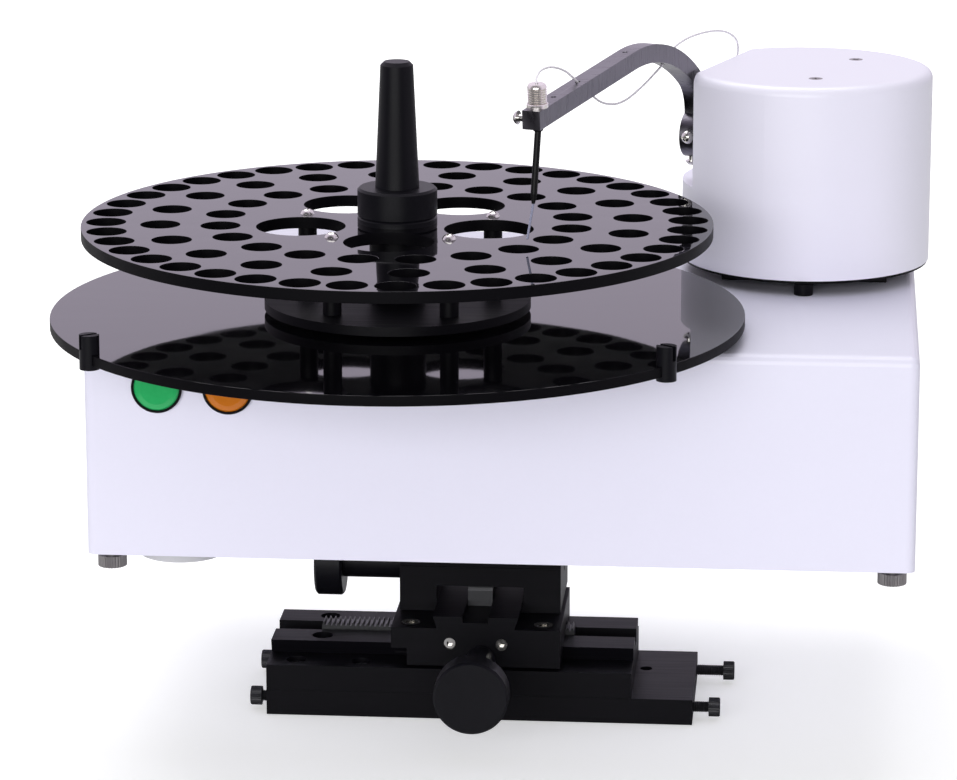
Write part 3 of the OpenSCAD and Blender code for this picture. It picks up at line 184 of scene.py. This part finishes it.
# The photograph's own viewpoint, solved from the sample holes; lens and sensor in millimetres
CAMERA_EYE = Vector((151.078, -1864.719, 615.566)) * MM
CAMERA_AHEAD = Vector((-0.0798, 0.9661, -0.2456)).normalized()
CAMERA_RIGHT = Vector((0.9966, 0.0823, 0.0)).normalized()
CAMERA_LENS = 164.0
CAMERA_SENSOR = 36
CAMERA_REACH = 60


# Sizes and colours that a user would change; first what properties of one kind share

LENGTH = {"unit": "LENGTH", "precision": 4}
COLOUR = {"subtype": "COLOR", "size": 3, "min": 0, "max": 1}
POWER = {"unit": "POWER", "min": 0, "max": 500}


class AutosamplerTubing(bpy.types.PropertyGroup):
    diameter: FloatProperty(
        name="Diameter", default=0.001, min=0.0005, max=0.003, **LENGTH,
        description="Outer diameter of the capillary tubing")


class AutosamplerEdges(bpy.types.PropertyGroup):
    stage: FloatProperty(
        name="Milled edges", default=0.0005, min=0, max=0.002, **LENGTH,
        description="Width of the eased edges on the stage, the arm and the tower's bearing")
    discs: FloatProperty(
        name="Disc edges", default=0.0004, min=0, max=0.001, **LENGTH,
        description="Width of the eased edges on the acrylic discs")


class AutosamplerColours(bpy.types.PropertyGroup):
    housing: FloatVectorProperty(
        name="Housing", default=(0.80, 0.785, 0.93), **COLOUR, description="Powder coat of the housing")
    tower: FloatVectorProperty(
        name="Tower", default=(0.86, 0.84, 0.97), **COLOUR, description="Moulded tower cover")
    acrylic: FloatVectorProperty(
        name="Acrylic", default=(0.0022, 0.002, 0.003), **COLOUR, description="Black acrylic discs")
    stage: FloatVectorProperty(
        name="Stage", default=(0.0026, 0.0024, 0.0036), **COLOUR, description="Black anodised stage")
    green: FloatVectorProperty(
        name="Green lens", default=(0.02, 0.42, 0.12), **COLOUR, description="Lens of the left button")
    orange: FloatVectorProperty(
        name="Orange lens", default=(0.58, 0.16, 0.004), **COLOUR, description="Lens of the right button")


class AutosamplerStudio(bpy.types.PropertyGroup):
    sky: FloatProperty(
        name="Sky", default=0.43, min=0, max=2, description="Strength of the even light from all round")
    front: FloatProperty(
        name="Front", default=63, **POWER, description="Power of the large low lamp by the camera")
    top: FloatProperty(
        name="Top", default=56, **POWER, description="Power of the large lamp overhead")


# Shader nodes

def set_sockets(tree, node, values):
    """Set a node's sockets: outputs of other nodes are linked, and all else is a constant."""
    for label, value in values.items():
        if isinstance(value, bpy.types.NodeSocket):
            tree.links.new(value, node.inputs[label])
        else:
            node.inputs[label].default_value = value


def add_node(tree, kind, sockets=None, **settings):
    """A new node, with its settings made before its sockets."""
    node = tree.nodes.new(kind)
    for label, value in settings.items():
        setattr(node, label, value)
    set_sockets(tree, node, sockets or {})
    return node


def maths(tree, operation, first, second):
    return add_node(tree, "ShaderNodeMath", {0: first, 1: second}, operation=operation).outputs[0]


def vector_maths(tree, operation, *vectors):
    """A node that works on vectors; what it works out is at its Vector or its Value output."""
    return add_node(tree, "ShaderNodeVectorMath", dict(enumerate(vectors)), operation=operation)


def mix_colours(tree, factor, first, second):
    sockets = {"Factor": factor, "A": first, "B": second}
    return add_node(tree, "ShaderNodeMix", sockets, data_type="RGBA").outputs["Result"]


def map_range(tree, value, source, target, blend="LINEAR"):
    sockets = {"Value": value, "From Min": source[0], "From Max": source[1],
               "To Min": target[0], "To Max": target[1]}
    return add_node(tree, "ShaderNodeMapRange", sockets, interpolation_type=blend).outputs["Result"]


# Shared shader groups

def new_group(name, inputs, outputs):
    """An empty shader group, with the sockets that it is given and the node that takes its results."""
    group = bpy.data.node_groups.new(name, "ShaderNodeTree")
    for label, kind, default in inputs:
        socket = group.interface.new_socket(label, in_out="INPUT", socket_type=kind)
        if default is not None:
            socket.default_value = default
    for label in outputs:
        group.interface.new_socket(label, in_out="OUTPUT", socket_type="NodeSocketFloat")
    return group, group.nodes.new("NodeGroupInput").outputs, group.nodes.new("NodeGroupOutput")


def grain_group():
    """Fine grain over slow mottling, for coats, castings and mouldings."""
    if "Surface grain" in bpy.data.node_groups:
        return bpy.data.node_groups["Surface grain"]
    group, given, leave = new_group(
        "Surface grain",
        [("Vector", "NodeSocketVector", None), ("Fine scale", "NodeSocketFloat", 900.0),
         ("Slow scale", "NodeSocketFloat", 18.0)],
        ["Mask", "Height"])
    fine, slow = (
        add_node(group, "ShaderNodeTexNoise",
                 {"Vector": given["Vector"], "Scale": given[scale], "Detail": detail}).outputs["Fac"]
        for scale, detail in (("Fine scale", 3), ("Slow scale", 2)))
    mixed = add_node(group, "ShaderNodeMix", {"Factor": 0.6, "A": fine, "B": slow})
    set_sockets(group, leave, {"Mask": mixed.outputs["Result"], "Height": fine})
    return group


def brush_group():
    """Long fine lines left by a cutter or an abrasive belt; Stretch says which way they run."""
    if "Tool lines" in bpy.data.node_groups:
        return bpy.data.node_groups["Tool lines"]
    group, given, leave = new_group(
        "Tool lines",
        [("Vector", "NodeSocketVector", None), ("Stretch", "NodeSocketVector", (30.0, 2500.0, 2500.0))],
        ["Mask", "Height"])
    stretched = vector_maths(group, "MULTIPLY", given["Vector"], given["Stretch"]).outputs["Vector"]
    lines = add_node(group, "ShaderNodeTexNoise", {"Vector": stretched, "Scale": 1, "Detail": 4})
    set_sockets(group, leave, {"Mask": lines.outputs["Fac"], "Height": lines.outputs["Fac"]})
    return group


def dust_group():
    """Sparse pale specks in patches, as lint lies on polished plastic."""
    if "Dust specks" in bpy.data.node_groups:
        return bpy.data.node_groups["Dust specks"]
    group, given, leave = new_group(
        "Dust specks",
        [("Vector", "NodeSocketVector", None), ("Scale", "NodeSocketFloat", 420.0),
         ("Size", "NodeSocketFloat", 0.07), ("Patch level", "NodeSocketFloat", 0.58)],
        ["Mask"])
    cells = add_node(group, "ShaderNodeTexVoronoi", {"Vector": given["Vector"], "Scale": given["Scale"]})
    patches = add_node(group, "ShaderNodeTexNoise", {"Vector": given["Vector"], "Scale": 25})
    small = maths(group, "LESS_THAN", cells.outputs["Distance"], given["Size"])
    few = maths(group, "GREATER_THAN", patches.outputs["Fac"], given["Patch level"])
    set_sockets(group, leave, {"Mask": maths(group, "MULTIPLY", small, few)})
    return group


# Materials

# The part of a mask's range that the roughness is spread over, and the height of the bumps in metres
MASK_RANGE = (0.25, 0.75)
BUMP_SIZE = 0.0002
# The name of the material made for each slot, filled in by the finishes operator
FINISH_NAMES = {}
# Nodes whose finish is their own and not the one that their slot gives; the capillary tip's is the tubing's
# colour with painted shade
OWN_FINISH = {"capillary_tip": "tip_painted_shade", "y_rack": "screw_black", "tower_screws": "foot_grey"}


def finish(name, low, high, rough, metallic=0.0, group=None, settings=None, bump=0.05, dust=None,
           plain=None):
    """A principled material whose colour, roughness and bump come from a shared group.

    The group's mask runs from the low colour to the high one and spreads over the range of roughness.
    Settings are constants of the group's sockets, plain those of the shader's, and dust colours the specks.
    """
    material = bpy.data.materials.new(name)
    material.use_nodes = True
    tree = material.node_tree
    place = add_node(tree, "ShaderNodeTexCoord").outputs["Object"]
    sockets = {"Vector": place, **(settings or {})}
    pattern = add_node(tree, "ShaderNodeGroup", sockets, node_tree=group or grain_group()).outputs
    colour = mix_colours(tree, pattern["Mask"], (*low, 1), (*high, 1))
    if dust:
        specks = add_node(tree, "ShaderNodeGroup", {"Vector": place}, node_tree=dust_group())
        colour = mix_colours(tree, specks.outputs["Mask"], colour, (*dust, 1))
    raised = add_node(tree, "ShaderNodeBump",
                      {"Strength": bump, "Distance": BUMP_SIZE, "Height": pattern["Height"]})
    set_sockets(tree, tree.nodes["Principled BSDF"], {
        "Base Color": colour, "Roughness": map_range(tree, pattern["Mask"], MASK_RANGE, rough),
        "Normal": raised.outputs["Normal"], "Metallic": metallic, **(plain or {})})
    return material


def finish_of(slot):
    return bpy.data.materials[FINISH_NAMES[slot]]


def shades(colour, dark, light):
    """A darker and a lighter shade of a colour, as the low and high colours of a finish."""
    return [tuple(min(1.0, c * factor) for c in colour) for factor in (dark, light)]


def stage_finishes(colours):
    """The milled stage with its racks, shafts, screws, knobs and feet."""
    return {
        "stage_black": finish(
            "Black anodised", *shades(colours.stage, dark=0.8, light=1.7), rough=(0.38, 0.52), bump=0.12,
            group=brush_group(), settings={"Stretch": (25.0, 2200.0, 2200.0)},
            plain={"Specular IOR Level": 0.09}),
        "rack_steel": finish(
            "Blackened rack", low=(0.02, 0.02, 0.022), high=(0.09, 0.09, 0.095), rough=(0.3, 0.5),
            metallic=0.7, bump=0.1),
        "steel": finish(
            "Turned steel", low=(0.5, 0.5, 0.51), high=(0.66, 0.66, 0.67), rough=(0.22, 0.36), metallic=1.0,
            group=brush_group(), settings={"Stretch": (2000.0, 2000.0, 60.0)}),
        "screw_black": finish(
            "Black oxide", low=(0.006, 0.006, 0.008), high=(0.03, 0.03, 0.034), rough=(0.32, 0.5),
            metallic=0.4, bump=0.15),
        "screw_bright": finish(
            "Nickel plate", low=(0.55, 0.53, 0.5), high=(0.78, 0.77, 0.74), rough=(0.12, 0.28),
            metallic=1.0),
        "knob_black": finish(
            "Satin black plastic", low=(0.003, 0.003, 0.0045), high=(0.0065, 0.0062, 0.009),
            rough=(0.34, 0.46), bump=0.08, settings={"Fine scale": 1500.0, "Slow scale": 30.0},
            plain={"Specular IOR Level": 0.13}),
        "foot_grey": finish(
            "Knurled steel", low=(0.2, 0.19, 0.195), high=(0.34, 0.325, 0.33), rough=(0.3, 0.45),
            metallic=0.9, bump=0.1),
    }


def lens_finish(name, colour):
    return finish(name, *shades(colour, dark=0.85, light=1.12), rough=(0.14, 0.24),
                  settings={"Fine scale": 600.0, "Slow scale": 90.0}, plain={"Coat Weight": 0.15})


def housing_finishes(colours):
    """The housing with its cap, push buttons and rocker."""
    return {
        "housing_white": finish(
            "Powder coat", *shades(colours.housing, dark=0.97, light=1.02), rough=(0.34, 0.44), bump=0.06,
            settings={"Fine scale": 700.0, "Slow scale": 6.0}),
        "cap_grey": finish("Grey plastic", low=(0.5, 0.5, 0.53), high=(0.6, 0.6, 0.63), rough=(0.4, 0.55)),
        "bezel_black": finish(
            "Gloss bezel", low=(0.005, 0.005, 0.006), high=(0.012, 0.012, 0.014), rough=(0.12, 0.22)),
        "lens_green": lens_finish("Green lens", colours.green),
        "lens_orange": lens_finish("Orange lens", colours.orange),
        "rocker_red": finish(
            "Red rocker", low=(0.36, 0.02, 0.02), high=(0.5, 0.035, 0.03), rough=(0.18, 0.3)),
    }


def carousel_finishes(colours):
    """The discs: polished on top, and matt below, round the rims and in the holes."""
    low, high = shades(colours.acrylic, dark=0.8, light=1.4)
    return {
        "acrylic_black": finish(
            "Polished acrylic", low, high, rough=(0.015, 0.05), bump=0.004, dust=(0.05, 0.05, 0.0515),
            settings={"Fine scale": 300.0, "Slow scale": 9.0}, plain={"IOR": 1.49}),
        "acrylic_sawn": finish(
            "Sawn acrylic", low, high, rough=(0.42, 0.58), bump=0.06,
            settings={"Fine scale": 1200.0, "Slow scale": 60.0}, plain={"Specular IOR Level": 0.06}),
    }


def arm_finishes(colours):
    """The tower's cover, and the arm with its fitting, probe and tubing."""
    return {
        "tower_white": finish(
            "Moulded white", *shades(colours.tower, dark=0.985, light=1.015), rough=(0.3, 0.38), bump=0.03,
            settings={"Fine scale": 500.0, "Slow scale": 8.0}),
        "arm_grey": finish(
            "Slate anodised", low=(0.045, 0.043, 0.05), high=(0.215, 0.205, 0.235), rough=(0.22, 0.4),
            metallic=1.0, bump=0.15, group=brush_group(), settings={"Stretch": (90.0, 800.0, 70.0)}),
        "fitting_nickel": finish(
            "Ridged nickel", low=(0.64, 0.6, 0.57), high=(0.94, 0.9, 0.88), rough=(0.18, 0.3),
            metallic=0.85, bump=0.08),
        "probe_black": finish(
            "Black probe", low=(0.003, 0.003, 0.003), high=(0.008, 0.008, 0.009), rough=(0.3, 0.42),
            plain={"Specular IOR Level": 0.12}),
        "tube_clear": finish(
            "Clear tubing", low=(0.9, 0.86, 0.94), high=(0.97, 0.94, 1.0), rough=(0.2, 0.32),
            plain={"Transmission Weight": 0.12, "IOR": 1.36}),
        # The capillary tip is the same tubing, painted darker and bluer: painted shade for the black plate
        # seen through it
        "tip_painted_shade": finish(
            "Clear tip, painted shade", low=(0.3, 0.31, 0.44), high=(0.44, 0.45, 0.6), rough=(0.15, 0.25),
            plain={"Transmission Weight": 0.3, "IOR": 1.36}),
    }


def inner_finishes():
    """The drives and the board inside the housing and the tower."""
    return {
        "motor_dark": finish(
            "Motor lacquer", low=(0.02, 0.02, 0.022), high=(0.05, 0.05, 0.053), rough=(0.4, 0.55)),
        "belt_rubber": finish(
            "Belt rubber", low=(0.012, 0.012, 0.012), high=(0.025, 0.025, 0.025), rough=(0.6, 0.75),
            bump=0.2),
        "board_green": finish(
            "Solder mask", low=(0.01, 0.11, 0.045), high=(0.02, 0.18, 0.08), rough=(0.25, 0.4)),
    }


# Shapes

def from_tower(p):
    """A point of the tower's frame, in millimetres, as a point of the row frame in metres."""
    turn = Matrix.Rotation(ARM_YAW, 3, "Z")
    return (TOWER + turn @ Vector(p)) * MM


def smooth_route(points, steps):
    """Points on a smooth curve through the route's own points."""
    out = []
    last = len(points) - 1
    for i in range(last):
        a, b, c, d = (points[max(i - 1, 0)], points[i], points[i + 1], points[min(i + 2, last)])
        for j in range(steps):
            t = j / steps
            out.append(0.5 * (2 * b + (c - a) * t + (2 * a - 5 * b + 4 * c - d) * t ** 2
                              + (3 * b - a - 3 * c + d) * t ** 3))
    out.append(points[last])
    return out


def body_of_node(node):
    for body, nodes in frame["record"]["behaviour"]["bodies"].items():
        if node in nodes:
            return body
    raise RuntimeError(f"no body holds {node}")


def slot_of_node(node):
    for entry in frame["record"]["subparts"]:
        if entry["node"] == node:
            return entry["material_slot"]
    raise RuntimeError(f"no slot for {node}")


def new_object(name, data):
    made = bpy.data.objects.new(name, data)
    bpy.context.scene.collection.objects.link(made)
    return made


def mesh_from(shape, name):
    mesh = bpy.data.meshes.new(name)
    shape.to_mesh(mesh)
    shape.free()
    return mesh


def shaded_piece(shape, name, angle):
    """A piece with the given shape, shaded smoothly except at edges sharper than an angle."""
    mesh = mesh_from(shape, name)
    mesh.shade_smooth()
    mesh.set_sharp_from_angle(angle=angle)
    return new_object(name, mesh)


def dress(piece, node):
    """Give a piece the finish made for its CAD node's slot and the node's body, and hide the node that it
    stands for.
    """
    piece.data.materials.append(finish_of(slot_of_node(node)))
    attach(piece, body_of_node(node))
    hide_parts(node)
    return piece


def eased_copy(node, width):
    """A copy that stands for a CAD node, with its sharp edges broken and its rounds shaded smoothly."""
    shape = bmesh.new()
    shape.from_mesh(frame["nodes"][node].data)
    bmesh.ops.remove_doubles(shape, verts=shape.verts, dist=NODE_WELD)
    bmesh.ops.dissolve_limit(shape, angle_limit=FLAT_ANGLE, verts=shape.verts, edges=shape.edges)
    sharp = [e for e in shape.edges if len(e.link_faces) == 2 and e.calc_face_angle(0) > EDGE_ANGLE]
    bmesh.ops.bevel(shape, geom=sharp, offset=width, offset_type="OFFSET", affect="EDGES",
                    segments=EDGE_SEGMENTS, profile=EDGE_PROFILE, clamp_overlap=True, material=-1)
    bmesh.ops.triangulate(shape, faces=[f for f in shape.faces if len(f.verts) > 4])
    piece = shaded_piece(shape, f"eased_{node}", SHADE_ANGLE)
    flat = piece.modifiers.new("flat_faces", "WEIGHTED_NORMAL")
    flat.keep_sharp = True
    return dress(piece, node)


def tube_mesh(path, diameter):
    """A round tube along a line of points, closed at both ends."""
    line = bpy.data.curves.new("tubing_line", "CURVE")
    line.dimensions = "3D"
    line.bevel_depth = diameter / 2
    line.bevel_resolution = TUBE_ROUNDNESS
    line.use_fill_caps = True
    spline = line.splines.new("POLY")
    spline.points.add(len(path) - 1)
    for point, place in zip(spline.points, path):
        point.co = (*place, 1)
    carrier = new_object("tubing_line", line)
    bpy.context.view_layer.update()
    drawn = carrier.evaluated_get(bpy.context.evaluated_depsgraph_get())
    mesh = bpy.data.meshes.new_from_object(drawn)
    bpy.data.objects.remove(carrier)
    shape = bmesh.new()
    shape.from_mesh(mesh)
    bmesh.ops.remove_doubles(shape, verts=shape.verts, dist=PIECE_WELD)
    bmesh.ops.recalc_face_normals(shape, faces=shape.faces)
    shape.to_mesh(mesh)
    shape.free()
    mesh.shade_smooth()
    return mesh


def spin_outline(shape, outline, steps):
    """Turn an outline of radius and height pairs once round the upright axis."""
    line = [shape.verts.new((radius, 0, height)) for radius, height in outline]
    edges = [shape.edges.new(pair) for pair in zip(line, line[1:])]
    bmesh.ops.spin(shape, geom=line + edges, cent=(0, 0, 0), axis=UP, angle=math.tau, steps=steps,
                   use_merge=True)


def set_in_place(shape, verts, foot, facing):
    """Turn points made about the upright axis to face another way, and move them to their foot."""
    bmesh.ops.transform(shape, verts=verts, matrix=UP.rotation_difference(facing).to_matrix().to_4x4())
    bmesh.ops.translate(shape, verts=verts, vec=foot)


def draw_out(shape, face, rise, width=1.0):
    """Extrude a face along the upright axis, scale its width, and give the new face."""
    made = bmesh.ops.extrude_face_region(shape, geom=[face])["geom"]
    verts = [g for g in made if isinstance(g, bmesh.types.BMVert)]
    bmesh.ops.translate(shape, verts=verts, vec=(0, 0, rise))
    bmesh.ops.scale(shape, verts=verts, vec=(width, width, 1))
    return next(g for g in made if isinstance(g, bmesh.types.BMFace))


def cap_screw(shape, foot, facing, shank):
    """Add an M5 socket cap screw: a knurled head with a hexagon socket on a threaded shank."""
    before = set(shape.verts)
    ring = bmesh.ops.create_circle(shape, cap_ends=True, segments=HEAD_POINTS, radius=HEAD_R)["verts"]
    for vert in ring[1::2]:
        vert.co *= KNURL_VALLEY
    top = [f for f in shape.faces if set(f.verts) == set(ring)][0]
    for rise, width in HEAD_STEPS:
        top = draw_out(shape, top, HEAD_H * rise, width)
    bmesh.ops.inset_region(shape, faces=[top], thickness=HEAD_R * SOCKET_RIM, use_even_offset=False)
    for vert in top.verts:
        off_flat = math.atan2(vert.co.y, vert.co.x) % SOCKET_TURN - SOCKET_TURN / 2
        vert.co.xy = vert.co.xy.normalized() * (SOCKET_HALF / math.cos(off_flat))
    draw_out(shape, top, -HEAD_H * SOCKET_DEPTH)
    turns = int(shank / THREAD_PITCH)
    spin_outline(shape, [(SCREW_R - (THREAD_DEPTH if i % 2 else 0), -i * THREAD_PITCH / 2)
                         for i in range(2 * turns + 1)], THREAD_SIDES)
    set_in_place(shape, [v for v in shape.verts if v not in before], foot, facing)


def fitting_outline():
    """Half of the fitting's section from its foot up, as radius and height pairs in millimetres."""
    rim = FITTING_R + FOOT_RIM
    ledge = FOOT_H - FOOT_STEP
    outline = [(0, 0), (rim, 0), (rim, ledge - FOOT_CHAMFER), (rim - FOOT_CHAMFER, ledge)]
    for i in range(int((FITTING_H - RIDGE_ROOM - FOOT_H) / RIDGE_PITCH)):
        low = FOOT_H + i * RIDGE_PITCH
        outline += [(FITTING_R - RIDGE_DEPTH, low), (FITTING_R, low + CREST_START * RIDGE_PITCH),
                    (FITTING_R, low + CREST_END * RIDGE_PITCH)]
    return outline + [(SHOULDER_R, FITTING_H - SHOULDER_DROP), (FACE_R, FITTING_H), (BORE_R, FITTING_H),
                      (BORE_R, FITTING_H - BORE_DEPTH), (0, FITTING_H - BORE_DEPTH)]


# The studio

def floor_finish():
    """A pale floor that looks whiter to the camera the further it is from the object."""
    material = bpy.data.materials.new("Studio floor")
    material.use_nodes = True
    tree = material.node_tree
    place = add_node(tree, "ShaderNodeTexCoord").outputs["Object"]
    pattern = add_node(tree, "ShaderNodeGroup", {"Vector": place, **FLOOR_GRAIN}, node_tree=grain_group())
    shader = tree.nodes["Principled BSDF"]
    set_sockets(tree, shader, {
        "Base Color": mix_colours(tree, pattern.outputs["Mask"], FLOOR_DARK, FLOOR_LIGHT),
        "Roughness": 0.9, "Specular IOR Level": 0})
    reach = vector_maths(tree, "LENGTH", place).outputs["Value"]
    fade = map_range(tree, reach, GLOW_REACH, GLOW_STRENGTH, "SMOOTHSTEP")
    camera_ray = add_node(tree, "ShaderNodeLightPath").outputs["Is Camera Ray"]
    strength = maths(tree, "MULTIPLY", camera_ray, fade)
    glow = add_node(tree, "ShaderNodeEmission", {"Color": WHITE, "Strength": strength})
    total = add_node(tree, "ShaderNodeAddShader", {0: shader.outputs["BSDF"], 1: glow.outputs["Emission"]})
    set_sockets(tree, tree.nodes["Material Output"], {"Surface": total.outputs["Shader"]})
    return material


def make_floor():
    shape = bmesh.new()
    bmesh.ops.create_grid(shape, x_segments=1, y_segments=1, size=FLOOR_HALF)
    bmesh.ops.translate(shape, verts=shape.verts, vec=FLOOR_PLACE)
    mesh = mesh_from(shape, "studio_floor")
    mesh.materials.append(floor_finish())
    floor = new_object("studio_floor", mesh)


def make_sky(strength):
    """White surroundings, with a dim room behind the camera that only polished faces show."""
    world = bpy.data.worlds.new("Studio sky")
    bpy.context.scene.world = world
    world.use_nodes = True
    tree = world.node_tree
    ray = add_node(tree, "ShaderNodeLightPath").outputs
    glossy = ray["Is Glossy Ray"]
    way = add_node(tree, "ShaderNodeTexCoord").outputs["Generated"]
    facing = vector_maths(tree, "DOT_PRODUCT", way, ROOM_WAY).outputs["Value"]
    room = map_range(tree, facing, ROOM_EDGE, ROOM_LIGHT, "SMOOTHSTEP")
    white = maths(tree, "MAXIMUM", ray["Is Camera Ray"], ray["Is Transmission Ray"])
    seen = maths(tree, "MAXIMUM", white, maths(tree, "MULTIPLY", glossy, room))
    unseen = maths(tree, "SUBTRACT", 1, maths(tree, "MAXIMUM", white, glossy))
    set_sockets(tree, tree.nodes["Background"], {
        "Color": mix_colours(tree, glossy, WHITE, SKY_TINT),
        "Strength": maths(tree, "ADD", seen, maths(tree, "MULTIPLY", unseen, strength))})


def make_lamp(name, place, size, power):
    data = bpy.data.lights.new(name, "AREA")
    data.shape = "RECTANGLE"
    data.size, data.size_y = size
    data.energy = power
    lamp = new_object(name, data)
    lamp.location = place
    lamp.rotation_euler = (LAMP_AIM - Vector(place)).to_track_quat("-Z", "Y").to_euler()


def make_camera():
    data = bpy.data.cameras.new("photo_camera")
    data.sensor_fit = "HORIZONTAL"
    data.sensor_width = CAMERA_SENSOR
    data.lens = CAMERA_LENS
    data.clip_end = CAMERA_REACH
    camera = new_object("photo_camera", data)
    camera_up = CAMERA_RIGHT.cross(CAMERA_AHEAD)
    turn = Matrix((CAMERA_RIGHT, camera_up, -CAMERA_AHEAD)).transposed().to_4x4()
    camera.matrix_world = Matrix.Translation(CAMERA_EYE) @ turn
    bpy.context.scene.camera = camera


# Operators

class AUTOSAMPLER_OT_studio(bpy.types.Operator):
    """Set the floor, the lamps, the surrounding light and the camera"""
    bl_idname = "autosampler.studio"
    bl_label = "Studio"

    def execute(self, context):
        studio = context.scene.autosampler_studio
        context.scene.view_settings.view_transform = "Standard"
        make_floor()
        make_sky(studio.sky)
        make_lamp("front_lamp", FRONT_LAMP_PLACE, FRONT_LAMP_SIZE, studio.front)
        make_lamp("top_lamp", TOP_LAMP_PLACE, TOP_LAMP_SIZE, studio.top)
        make_camera()
        return {"FINISHED"}


class AUTOSAMPLER_OT_finishes(bpy.types.Operator):
    """Make the finishes and give each CAD node its own or the one that its slot asks for"""
    bl_idname = "autosampler.finishes"
    bl_label = "Finishes"

    def execute(self, context):
        colours = context.scene.autosampler_colours
        made = {**stage_finishes(colours), **housing_finishes(colours), **carousel_finishes(colours),
                **arm_finishes(colours), **inner_finishes()}
        FINISH_NAMES.update({slot: material.name for slot, material in made.items()})
        for node, obj in frame["nodes"].items():
            material = made[OWN_FINISH.get(node, slot_of_node(node))]
            if obj.material_slots:
                for place in obj.material_slots:
                    place.material = material
            else:
                obj.data.materials.append(material)
        return {"FINISHED"}


class AUTOSAMPLER_OT_tubing(bpy.types.Operator):
    """Run the capillary tubing from the fitting through the arm to the tower"""
    bl_idname = "autosampler.tubing"
    bl_label = "Tubing"

    def execute(self, context):
        diameter = context.scene.autosampler_tubing.diameter
        path = smooth_route([from_tower(p) for p in TUBE_ROUTE], TUBE_STEPS)
        mesh = tube_mesh(path, diameter)
        mesh.materials.append(finish_of("tube_clear"))
        hose = new_object("capillary_tubing", mesh)
        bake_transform(hose)
        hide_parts("sample_tubing")
        return {"FINISHED"}


class AUTOSAMPLER_OT_stage_edges(bpy.types.Operator):
    """Break the sharp edges of the milled stage blocks, the tower's bearing and the arm"""
    bl_idname = "autosampler.stage_edges"
    bl_label = "Stage edges"

    def execute(self, context):
        for node in MILLED_NODES:
            eased_copy(node, context.scene.autosampler_edges.stage)
        return {"FINISHED"}


class AUTOSAMPLER_OT_cap_screws(bpy.types.Operator):
    """Cut knurls, sockets and threads into the cap screws of the base and rail"""
    bl_idname = "autosampler.cap_screws"
    bl_label = "Cap screws"

    def execute(self, context):
        shape = bmesh.new()
        for end, row, out in CLAMP_SCREWS:
            foot = Vector((end * (BASE_L / 2 + out), row * (BASE_D / 2 - CLAMP_INSET), BASE_H / 2)) * MM
            cap_screw(shape, foot, Vector((end, 0, 0)), (out + CLAMP_DEPTH - SCREW_ROOM) * MM)
        for x, y, z in RAIL_BOLTS:
            cap_screw(shape, Vector((x, y, z - BOLT_SINK)) * MM, UP, (z - BASE_H - SCREW_ROOM) * MM)
        bmesh.ops.recalc_face_normals(shape, faces=shape.faces)
        dress(shaded_piece(shape, "cap_screws", SHADE_ANGLE), "base_screws")
        return {"FINISHED"}


class AUTOSAMPLER_OT_disc_edges(bpy.types.Operator):
    """Ease the edges of the two acrylic discs and their holes, and leave only the upper faces polished"""
    bl_idname = "autosampler.disc_edges"
    bl_label = "Disc edges"

    def execute(self, context):
        for node in DISC_NODES:
            disc = eased_copy(node, context.scene.autosampler_edges.discs)
            disc.data.materials.append(finish_of("acrylic_sawn"))
            for face in disc.data.polygons:
                face.material_index = 0 if face.normal.z > POLISHED_RISE else 1
        return {"FINISHED"}


class AUTOSAMPLER_OT_fitting(bpy.types.Operator):
    """Turn the tube fitting with its fine ridges, its foot and the bore that the tubing leaves by"""
    bl_idname = "autosampler.fitting"
    bl_label = "Fitting"

    def execute(self, context):
        shape = bmesh.new()
        spin_outline(shape, [(r * MM, z * MM) for r, z in fitting_outline()], FITTING_SIDES)
        bmesh.ops.remove_doubles(shape, verts=shape.verts, dist=PIECE_WELD)
        bmesh.ops.recalc_face_normals(shape, faces=shape.faces)
        rise = Vector((math.sin(FITTING_LEAN), 0, math.cos(FITTING_LEAN)))
        base = Vector(FITTING_TOP) - FITTING_H * rise
        set_in_place(shape, shape.verts, from_tower(base), from_tower(base + rise) - from_tower(base))
        dress(shaded_piece(shape, "ridged_fitting", RIDGE_SHADE_ANGLE), "tube_fitting")
        return {"FINISHED"}


OPERATORS = (AUTOSAMPLER_OT_studio, AUTOSAMPLER_OT_finishes, AUTOSAMPLER_OT_tubing,
             AUTOSAMPLER_OT_stage_edges, AUTOSAMPLER_OT_cap_screws, AUTOSAMPLER_OT_disc_edges,
             AUTOSAMPLER_OT_fitting)
SETTINGS = {"autosampler_tubing": AutosamplerTubing, "autosampler_edges": AutosamplerEdges,
            "autosampler_colours": AutosamplerColours, "autosampler_studio": AutosamplerStudio}


class AUTOSAMPLER_PT_panel(bpy.types.Panel):
    """Lists the dressing steps and their sizes"""
    bl_idname = "AUTOSAMPLER_PT_panel"
    bl_label = "Autosampler"
    bl_space_type = "VIEW_3D"
    bl_region_type = "UI"
    bl_category = "Autosampler"

    def draw(self, context):
        for step in OPERATORS:
            self.layout.operator(step.bl_idname)
        for label, group in SETTINGS.items():
            for setting in group.__annotations__:
                self.layout.prop(getattr(context.scene, label), setting)


CLASSES = (*SETTINGS.values(), *OPERATORS, AUTOSAMPLER_PT_panel)


def register():
    for cls in CLASSES:
        bpy.utils.register_class(cls)
    for label, group in SETTINGS.items():
        setattr(bpy.types.Scene, label, PointerProperty(type=group))


def unregister():
    for label in SETTINGS:
        delattr(bpy.types.Scene, label)
    for cls in reversed(CLASSES):
        bpy.utils.unregister_class(cls)


def main():
    register()
    bpy.ops.autosampler.studio()
    bpy.ops.autosampler.finishes()
    bpy.ops.autosampler.tubing()
    bpy.ops.autosampler.stage_edges()
    bpy.ops.autosampler.cap_screws()
    bpy.ops.autosampler.disc_edges()
    bpy.ops.autosampler.fitting()


if __name__ == "__main__":
    main()
